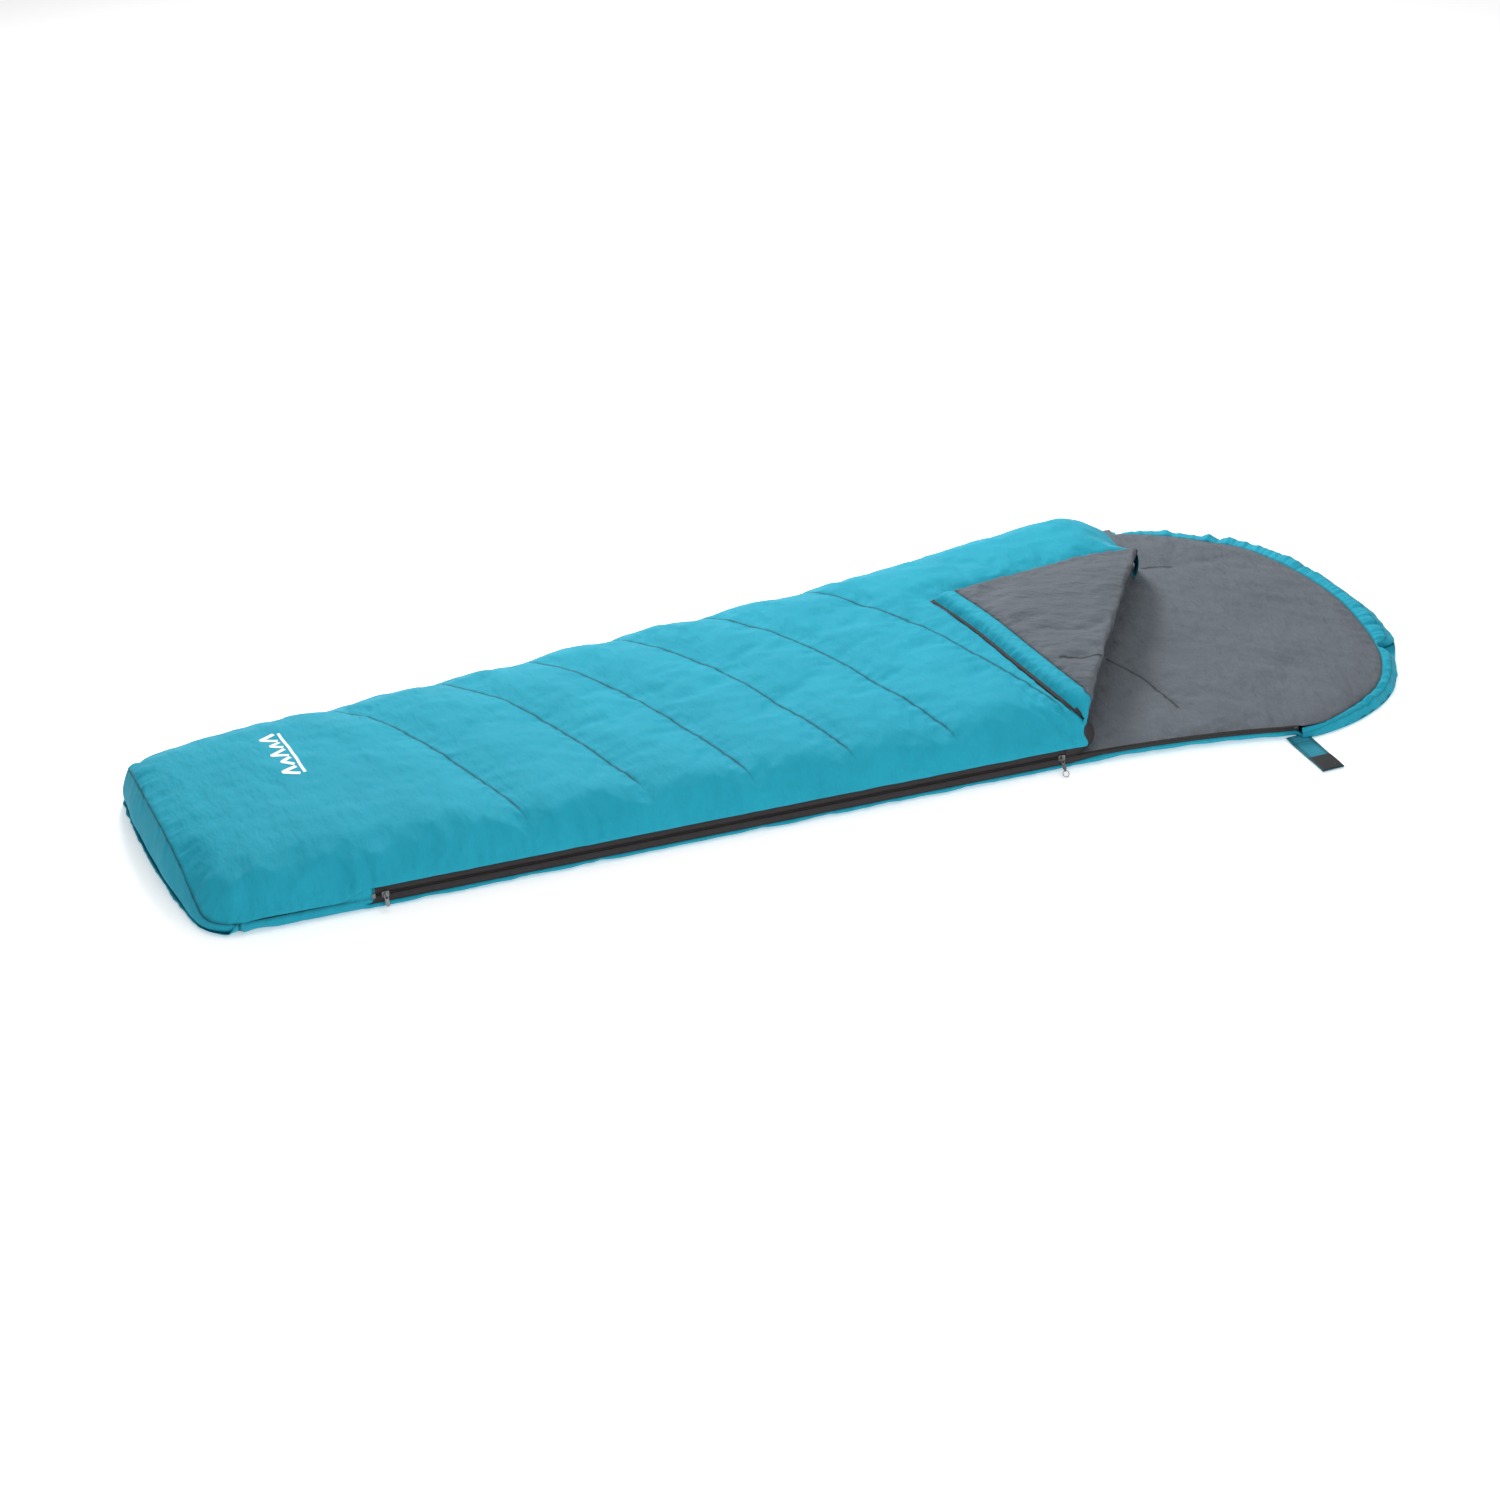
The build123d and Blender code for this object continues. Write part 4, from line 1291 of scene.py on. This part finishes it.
def build_neck_edge():
    """The rolled end of the cover at the neck, from the fold to the far side."""
    line = np.vstack([FOLD_EDGE[-1:], NECK_EDGE])
    line = resample(line, 5.0)
    x, y = line.T
    top = cover_z(x, y)
    run = np.arange(len(line)) * 5.0
    low = np.minimum(np.where(run < 70.0, mouth_z(x, y) - 12.0, LINING_Z + 1.0), top - 1.0)
    out = right_of(line)
    pucker = ripple(run / 14.0, run * 0, 41.0)
    tall = np.clip((top - low) / 45.0, 0.1, 1.0)
    rows = []
    for k in range(11):
        t = k / 10
        bulge = math.sin(math.pi * t) ** 0.7 * 9.0
        off = (bulge + 2.6 * pucker * math.sin(math.pi * t)) * tall + 17.0 * t * smooth(run / 60.0)
        rows.append(np.c_[line + out * off[:, None], top + (low - top) * smooth(t)])
    rows = by_station(rows)
    obj = grid_mesh("neck_edge", rows, flat=spread(run, np.linspace(0, 60, 11)))
    refine(obj)
    flat = flat_of(obj)
    dress(obj, SHELL, "bag", np.abs(flat[:, 1] - 8.0), flat[:, 0])
    return obj


# ---------------------------------------------------------------- zip
def near_point(x, out, z):
    """A point on the near side: out is how far outside the outline."""
    return np.stack([x, -half_width(x) - out, np.broadcast_to(z, np.shape(x))], -1)


def build_tape(name, x0, x1, z0, z1, node, seed):
    """A zip tape that follows the near edge, a little wavy."""
    x = np.arange(x0, x1 + 1, 4.0)
    width = np.broadcast_to(z1 - z0(x), x.shape)
    wave = 0.5 * ripple(x / 45.0, x * 0, seed)
    rows = []
    shares = np.array([-0.02, 0.0, 0.25, 0.5, 0.75, 1.0, 1.02])
    offs = np.array([-4.0, -1.5, -0.9, -0.7, -0.8, -1.2, -3.6])
    for t, off in zip(shares, offs):
        rows.append(near_point(x, off + wave * math.sin(math.pi * min(max(t, 0), 1)), z1 - width * (1 - t)))
    rows = by_station(rows)
    flat = np.stack([np.repeat(x[:, None], 7, 1), width[:, None] * shares[None]], 2)
    obj = grid_mesh(name, rows, flat=flat)
    flip(obj)
    dress(obj, TAPE, "bag")
    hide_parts(node)
    return obj


def teeth(name, places, forwards, ups, node, pitch_size=(1.1, 1.5, 2.3), body="bag"):
    """One row of coil teeth, small rounded blocks, at places with their own directions."""
    verts, faces = [], []
    a, b, c = (v / 2 for v in pitch_size)
    shape = np.array(
        [
            (-a, -b, -c * 0.7), (a, -b, -c * 0.7), (a, b, -c), (-a, b, -c),
            (-a, -b, c * 0.7), (a, -b, c * 0.7), (a, b, c), (-a, b, c),
            (0, -b * 1.25, 0),
        ]
    )
    quads = [(0, 3, 2, 1), (4, 5, 6, 7), (1, 2, 6, 5), (2, 3, 7, 6), (3, 0, 4, 7), (0, 1, 8), (1, 5, 8), (5, 4, 8), (4, 0, 8)]
    for p, f, u in zip(places, forwards, ups):
        side = np.cross(f, u)
        base = len(verts)
        for v in shape:
            verts.append(p + f * v[0] - side * v[1] + u * v[2])
        faces += [tuple(base + i for i in q) for q in quads]
    obj = make_mesh(name, np.array(verts), faces)
    dress(obj, COIL, body)
    if node:
        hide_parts(node)
    return obj


def build_zip():
    build_tape("lower_zip_tape", ZIP_START_X, TAPE_END_X, tape_foot_z, 24.4, "lower_tape", 51.0)
    build_tape("upper_zip_tape", ZIP_START_X, 348.0, lambda x: 25.6, 38.6, "upper_tape", 52.0)
    lower_x = np.arange(ZIP_START_X + 9, 738.0, 2.0)
    upper_x = np.arange(ZIP_START_X + 10, 346.0, 2.0)
    for name, x, z, node in (("lower_zip_teeth", lower_x, 23.4, "lower_coil"), ("upper_zip_teeth", upper_x, 26.6, "upper_coil")):
        place = near_point(x, 0.1, z)
        f = np.tile(np.array([1.0, -SIDE_SLOPE, 0.0]) / math.hypot(1, SIDE_SLOPE), (len(x), 1))
        u = np.tile(np.array([0.0, 0.0, 1.0]), (len(x), 1))
        teeth(name, place, f, u, node)
    rows = []
    xs = np.linspace(ZIP_START_X - 52.0, ZIP_START_X + 6.5, 20)
    edge = 2.0 * np.sin(np.linspace(0, math.pi, 20)) ** 0.5 - 1.2
    for share, out in ((0.0, -1.0), (0.12, 0.4), (0.5, 1.0), (0.88, 0.6), (1.0, -0.8)):
        rows.append(near_point(xs, out + edge, 12.0 + (near_rim_z(xs) - 10.0) * share))
    rows = by_station(rows)
    patch_obj = grid_mesh("zip_end_patch", rows)
    flip(patch_obj)
    refine(patch_obj)
    pts = points_of(patch_obj)
    d = np.minimum(np.abs(pts[:, 0] - ZIP_START_X - 4.0), np.abs(pts[:, 2] - BEFORE_ZIP_Z) + 0.4)
    dress(patch_obj, SHELL, "bag", d, pts[:, 2])


CURL_OUTER = [
    (343.0, -307.2, 26.5), (364.0, -308.6, 28.5), (384.0, -307.0, 37.0), (396.5, -301.0, 51.0),
    (396.0, -292.0, 66.0), (384.0, -281.0, 80.0), (374.0, -268.0, 88.0),
]
CURL_INNER = [
    (343.0, -306.4, 38.0), (362.0, -306.4, 40.0), (377.0, -303.5, 47.0), (386.0, -297.0, 58.0),
    (388.0, -289.0, 70.0), (386.0, -279.0, 81.0), (383.0, -266.0, 89.0),
]


def build_tape_curl():
    """The tape and teeth where the zip turns up and over at the folded corner."""
    outer, inner = curve_through(CURL_OUTER, 3.0), curve_through(CURL_INNER, 3.0)
    count = min(len(outer), len(inner))
    outer, inner = resample_to(outer, count)[:count], resample_to(inner, count)[:count]
    count = min(len(outer), len(inner))
    outer, inner = outer[:count], inner[:count]
    rows = by_station([outer * (1 - t) + inner * t for t in (0.0, 0.25, 0.5, 0.75, 1.0)])
    run = np.arange(count) * 3.0
    obj = grid_mesh("zip_tape_curl", rows, flat=spread(run, np.linspace(0, 9, 5)))
    dress(obj, TAPE)
    blend_across(obj)
    dense = resample(outer, 2.0)
    along = unit(np.gradient(dense, axis=0))
    at, known = np.linspace(0, 1, len(dense)), np.linspace(0, 1, count)
    inward = np.array([np.interp(at, known, column) for column in (inner - outer).T]).T
    inward = unit(inward - along * (inward * along).sum(1)[:, None])
    teeth("zip_teeth_curl", dense - inward * 0.6, along, -inward, None, body=None)
    blend_across(bpy.data.objects["zip_teeth_curl"])


def build_flap_tape():
    """The folded corner's zip tape, lying beside its rolled facing, with its teeth."""
    line = flap_outline()
    line = resample(line, 4.0)
    out = -right_of(line)
    if out[:, 0].mean() > 0:
        out = -out
    grow = smooth(np.arange(len(line)) * 4.0 / 30.0)
    rows = []
    for off, lift in ((-5.0, 4.5), (-1.0, 3.2), (2.0, 2.6), (5.0, 2.3), (8.0, 2.2), (9.0, 1.6)):
        p = line + out * (off * np.where(off > 0, grow, 1.0))[:, None]
        rows.append(np.c_[p, cover_z(p[:, 0], p[:, 1]) + lift])
    rows = by_station(rows)
    run = np.arange(len(line)) * 4.0
    obj = grid_mesh("flap_zip_tape", rows, flat=spread(run, [0, 4, 7, 10, 13, 14]))
    face_up(obj)
    dress(obj, TAPE, "flap")
    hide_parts("flap_tape")
    dense = resample(line, 2.0)
    dense = dense[12:-5]
    dd = np.gradient(dense, axis=0)
    f = np.c_[unit(dd), np.zeros(len(dd))]
    o = np.stack([-f[:, 1], f[:, 0]], 1)
    if o[:, 0].mean() > 0:
        o = -o
    p = dense + o * 7.2
    place = np.c_[p, cover_z(p[:, 0], p[:, 1]) + 3.3]
    side = np.c_[o, np.zeros(len(o))]
    teeth("flap_zip_teeth", place, f, side, "flap_coil", body="flap")


# ---------------------------------------------------------------- tab, mark and trim
def close_ends(obj, ring, count):
    """Adds the two end faces to a tube made from rings of points."""
    points, flat = points_of(obj), flat_of(obj)
    faces = [tuple(p.vertices) for p in obj.data.polygons]
    first = faces[0]
    forward = (first[0] % ring + 1) % ring == first[1] % ring
    start, end = list(range(ring)), list(range(ring * (count - 1), ring * count))
    faces += [tuple(start[::-1]), tuple(end)] if forward else [tuple(start), tuple(end[::-1])]
    mesh = bpy.data.meshes.new(obj.name)
    mesh.from_pydata((points * MM).tolist(), [], faces)
    mesh.polygons.foreach_set("use_smooth", [True] * (len(faces) - 2) + [False, False])
    obj.data = mesh
    set_flat(obj, flat)


def build_tab():
    x0, x1 = TAB_X0, TAB_X1
    for name, y0, y1, body, node in (
        ("tab_strap_web", TAB_FOLD_Y, -489.0, "tab", "tab_strap"),
        ("tab_root_web", -372.0, TAB_FOLD_Y, "bag", "tab_root"),
    ):
        y = np.linspace(y0, y1, max(6, int(abs(y1 - y0) / 3)))
        x = np.linspace(x0, x1, 15)
        top, low = [], []
        for b in y:
            past = b - TAB_FOLD_Y
            wave = math.sin(past / 16.0) * min(1.0, abs(past) / 20.0) if body == "tab" else 0.0
            lift = max(0.0, wave) + (1.6 * smooth(past / 16.0) if body == "bag" else 0.0)
            edge = 0.5 * ((x - x0 - 21.0) / 21.0) ** 8
            top.append(np.c_[x, np.full(15, b), 2.5 + lift - edge])
            low.append(np.c_[x, np.full(15, b), np.full(15, 0.9) + lift])
        top, low = np.array(top), np.array(low)[:, ::-1]
        rows = np.concatenate([top, low], axis=1)
        run = np.abs(y - y0)
        across = np.r_[np.linspace(0, 42, 15), np.linspace(44, 86, 15)]
        flat = spread(run, across)
        obj = grid_mesh(name, rows, closed_v=True, flat=flat)
        if normals_of(obj).reshape(len(y), 30, 3)[2:-2, 5:10, 2].mean() < 0:
            flip(obj)
        close_ends(obj, 30, len(y))
        seam = np.minimum(np.abs(flat[..., 1] - 4.0), np.abs(flat[..., 1] - 38.0)).ravel()
        dress(obj, STRAP, body, seam, flat[..., 0].ravel())
        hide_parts(node)
    y = np.linspace(-442.0, -489.6, 22)
    x = np.linspace(x0 + 0.6, x1 - 0.6, 20)
    rows = []
    for b in y:
        lift = max(0.0, math.sin((b - TAB_FOLD_Y) / 16.0))
        edge = 1.3 * ((x - x0 - 21.0) / 20.4) ** 10
        end = 1.3 * max(0.0, (abs(b + 465.8) - 22.6) / 1.2) ** 2
        rows.append(np.c_[x, np.full(20, b), np.maximum(4.0 + lift - edge - end, 2.4 + lift)])
    obj = grid_mesh("tab_hook_patch", np.array(rows))
    face_up(obj)
    dress(obj, HOOK, "tab")
    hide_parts("hook_patch")


def drape_on(obj, target, gap):
    """Puts each point of obj at its own height above target, straight down."""
    dg = bpy.context.evaluated_depsgraph_get()
    tree = BVHTree.FromObject(target, dg)
    points = points_of(obj)
    out = []
    for p in points:
        hit = tree.ray_cast(Vector((p[0], p[1], 400.0)) * MM, Vector((0, 0, -1)))
        z = hit[0].z / MM if hit[0] is not None else p[2]
        out.append((p[0], p[1], z + gap))
    move_points(obj, out)


def build_mark(cover):
    """A generic white mark of peaks, printed near the foot across the bag."""
    verts, faces = [], []

    def strip(line, width):
        line = resample(line, 2.5)
        side = -right_of(line)
        for row in (line - side * width / 2, line, line + side * width / 2):
            verts.extend([(p[0], p[1], 0.0) for p in row])
        n = len(line)
        base = len(verts) - 3 * n
        for r in range(2):
            for i in range(n - 1):
                a = base + r * n + i
                faces.append((a, a + 1, a + n + 1, a + n))

    x0 = -875.0
    for k in range(5):
        y = 152.0 - k * 29.0
        tall = 26.0 if k % 2 == 0 else 18.0
        strip([(x0 + 8.0, y + 11.0), (x0 + 8.0 - tall, y), (x0 + 8.0, y - 11.0)], 7.0)
    strip([(x0 + 16.0, 163.0), (x0 + 16.0, 25.0)], 5.0)
    obj = make_mesh("printed_mark", np.array(verts), faces)
    drape_on(obj, cover, 0.35)
    face_up(obj)
    dress(obj, PRINT, "bag")
    return obj


def keep_cad(name, material):
    """A CAD node that stays as it is, with its own material."""
    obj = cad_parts[name]
    obj.data.materials.clear()
    obj.data.materials.append(material)
    for p in obj.data.polygons:
        p.use_smooth = False


# ---------------------------------------------------------------- build everything
cover = build_cover()
build_cover_lining()
build_under_lining()
build_tray()
build_gusset()
build_hem()
build_flap_top()
build_fold_ends()
build_flap_under()
build_fold_inside()
build_neck_edge()
build_zip()
build_flap_tape()
build_tape_curl()
build_tab()
build_mark(cover)
for name in (
    "upper_slider_body", "lower_slider_body", "upper_pull_tab", "lower_pull_tab", "upper_pull_ring",
    "zip_bottom_stop", "hood_end_stop", "flap_top_stop",
):
    keep_cad(name, METAL)
keep_cad("bar_tack", THREAD)
keep_cad("loop_patch", HOOK)


# ---------------------------------------------------------------- floor, light and camera
def build_stage():
    mesh = bpy.data.meshes.new("floor")
    mesh.from_pydata([(-30, -30, -0.0012), (30, -30, -0.0012), (30, 30, -0.0012), (-30, 30, -0.0012)], [], [(0, 1, 2, 3)])
    floor = bpy.data.objects.new("floor", mesh)
    bpy.context.scene.collection.objects.link(floor)
    n = Nodes("floor_paper")
    n.shader.inputs["Base Color"].default_value = (0.92, 0.92, 0.92, 1.0)
    n.shader.inputs["Emission Color"].default_value = (1.0, 1.0, 1.0, 1.0)
    n.shader.inputs["Emission Strength"].default_value = 0.35
    n.shader.inputs["Roughness"].default_value = 0.9
    n.shader.inputs["Specular IOR Level"].default_value = 0.1
    floor.data.materials.append(n.material)


def area_light(name, place, target, size, power):
    light = bpy.data.lights.new(name, "AREA")
    light.shape = "RECTANGLE"
    light.size, light.size_y = size
    light.energy = power
    obj = bpy.data.objects.new(name, light)
    bpy.context.scene.collection.objects.link(obj)
    obj.location = place
    obj.rotation_euler = (Vector(target) - Vector(place)).to_track_quat("-Z", "Y").to_euler()
    return obj


def build_light():
    world = bpy.data.worlds.new("studio")
    bpy.context.scene.world = world
    world.use_nodes = True
    back = world.node_tree.nodes["Background"]
    back.inputs["Color"].default_value = (1.0, 1.0, 1.0, 1.0)
    back.inputs["Strength"].default_value = 0.42
    area_light("key", (0.35, 2.7, 2.1), (0.1, 0.0, 0.0), (1.0, 1.0), 100.0)
    area_light("fill", (0.3, -0.6, 3.4), (0.1, 0.0, 0.0), (3.0, 3.0), 42.0)
    area_light("front", (-0.2, -2.6, 1.4), (0.0, -0.25, 0.05), (2.0, 2.0), 18.0)
    view = bpy.context.scene.view_settings
    view.view_transform = "Standard"
    view.look = "None"


CAMERA_AZIMUTH, CAMERA_ELEVATION = math.radians(-24.31), math.radians(30.50)
CAMERA_TARGET = Vector((-0.1057, -0.0322, 0.0))
CAMERA_DISTANCE, CAMERA_LENS = 6.3709, 91.59


def build_camera():
    data = bpy.data.cameras.new("camera")
    data.lens, data.sensor_width = CAMERA_LENS, 36.0
    camera = bpy.data.objects.new("camera", data)
    bpy.context.scene.collection.objects.link(camera)
    back = Vector(
        (
            math.sin(CAMERA_AZIMUTH) * math.cos(CAMERA_ELEVATION),
            -math.cos(CAMERA_AZIMUTH) * math.cos(CAMERA_ELEVATION),
            math.sin(CAMERA_ELEVATION),
        )
    )
    camera.location = CAMERA_TARGET + back * CAMERA_DISTANCE
    camera.rotation_euler = (-back).to_track_quat("-Z", "Y").to_euler()
    data.clip_end = 100.0
    bpy.context.scene.camera = camera


build_stage()
build_light()
build_camera()
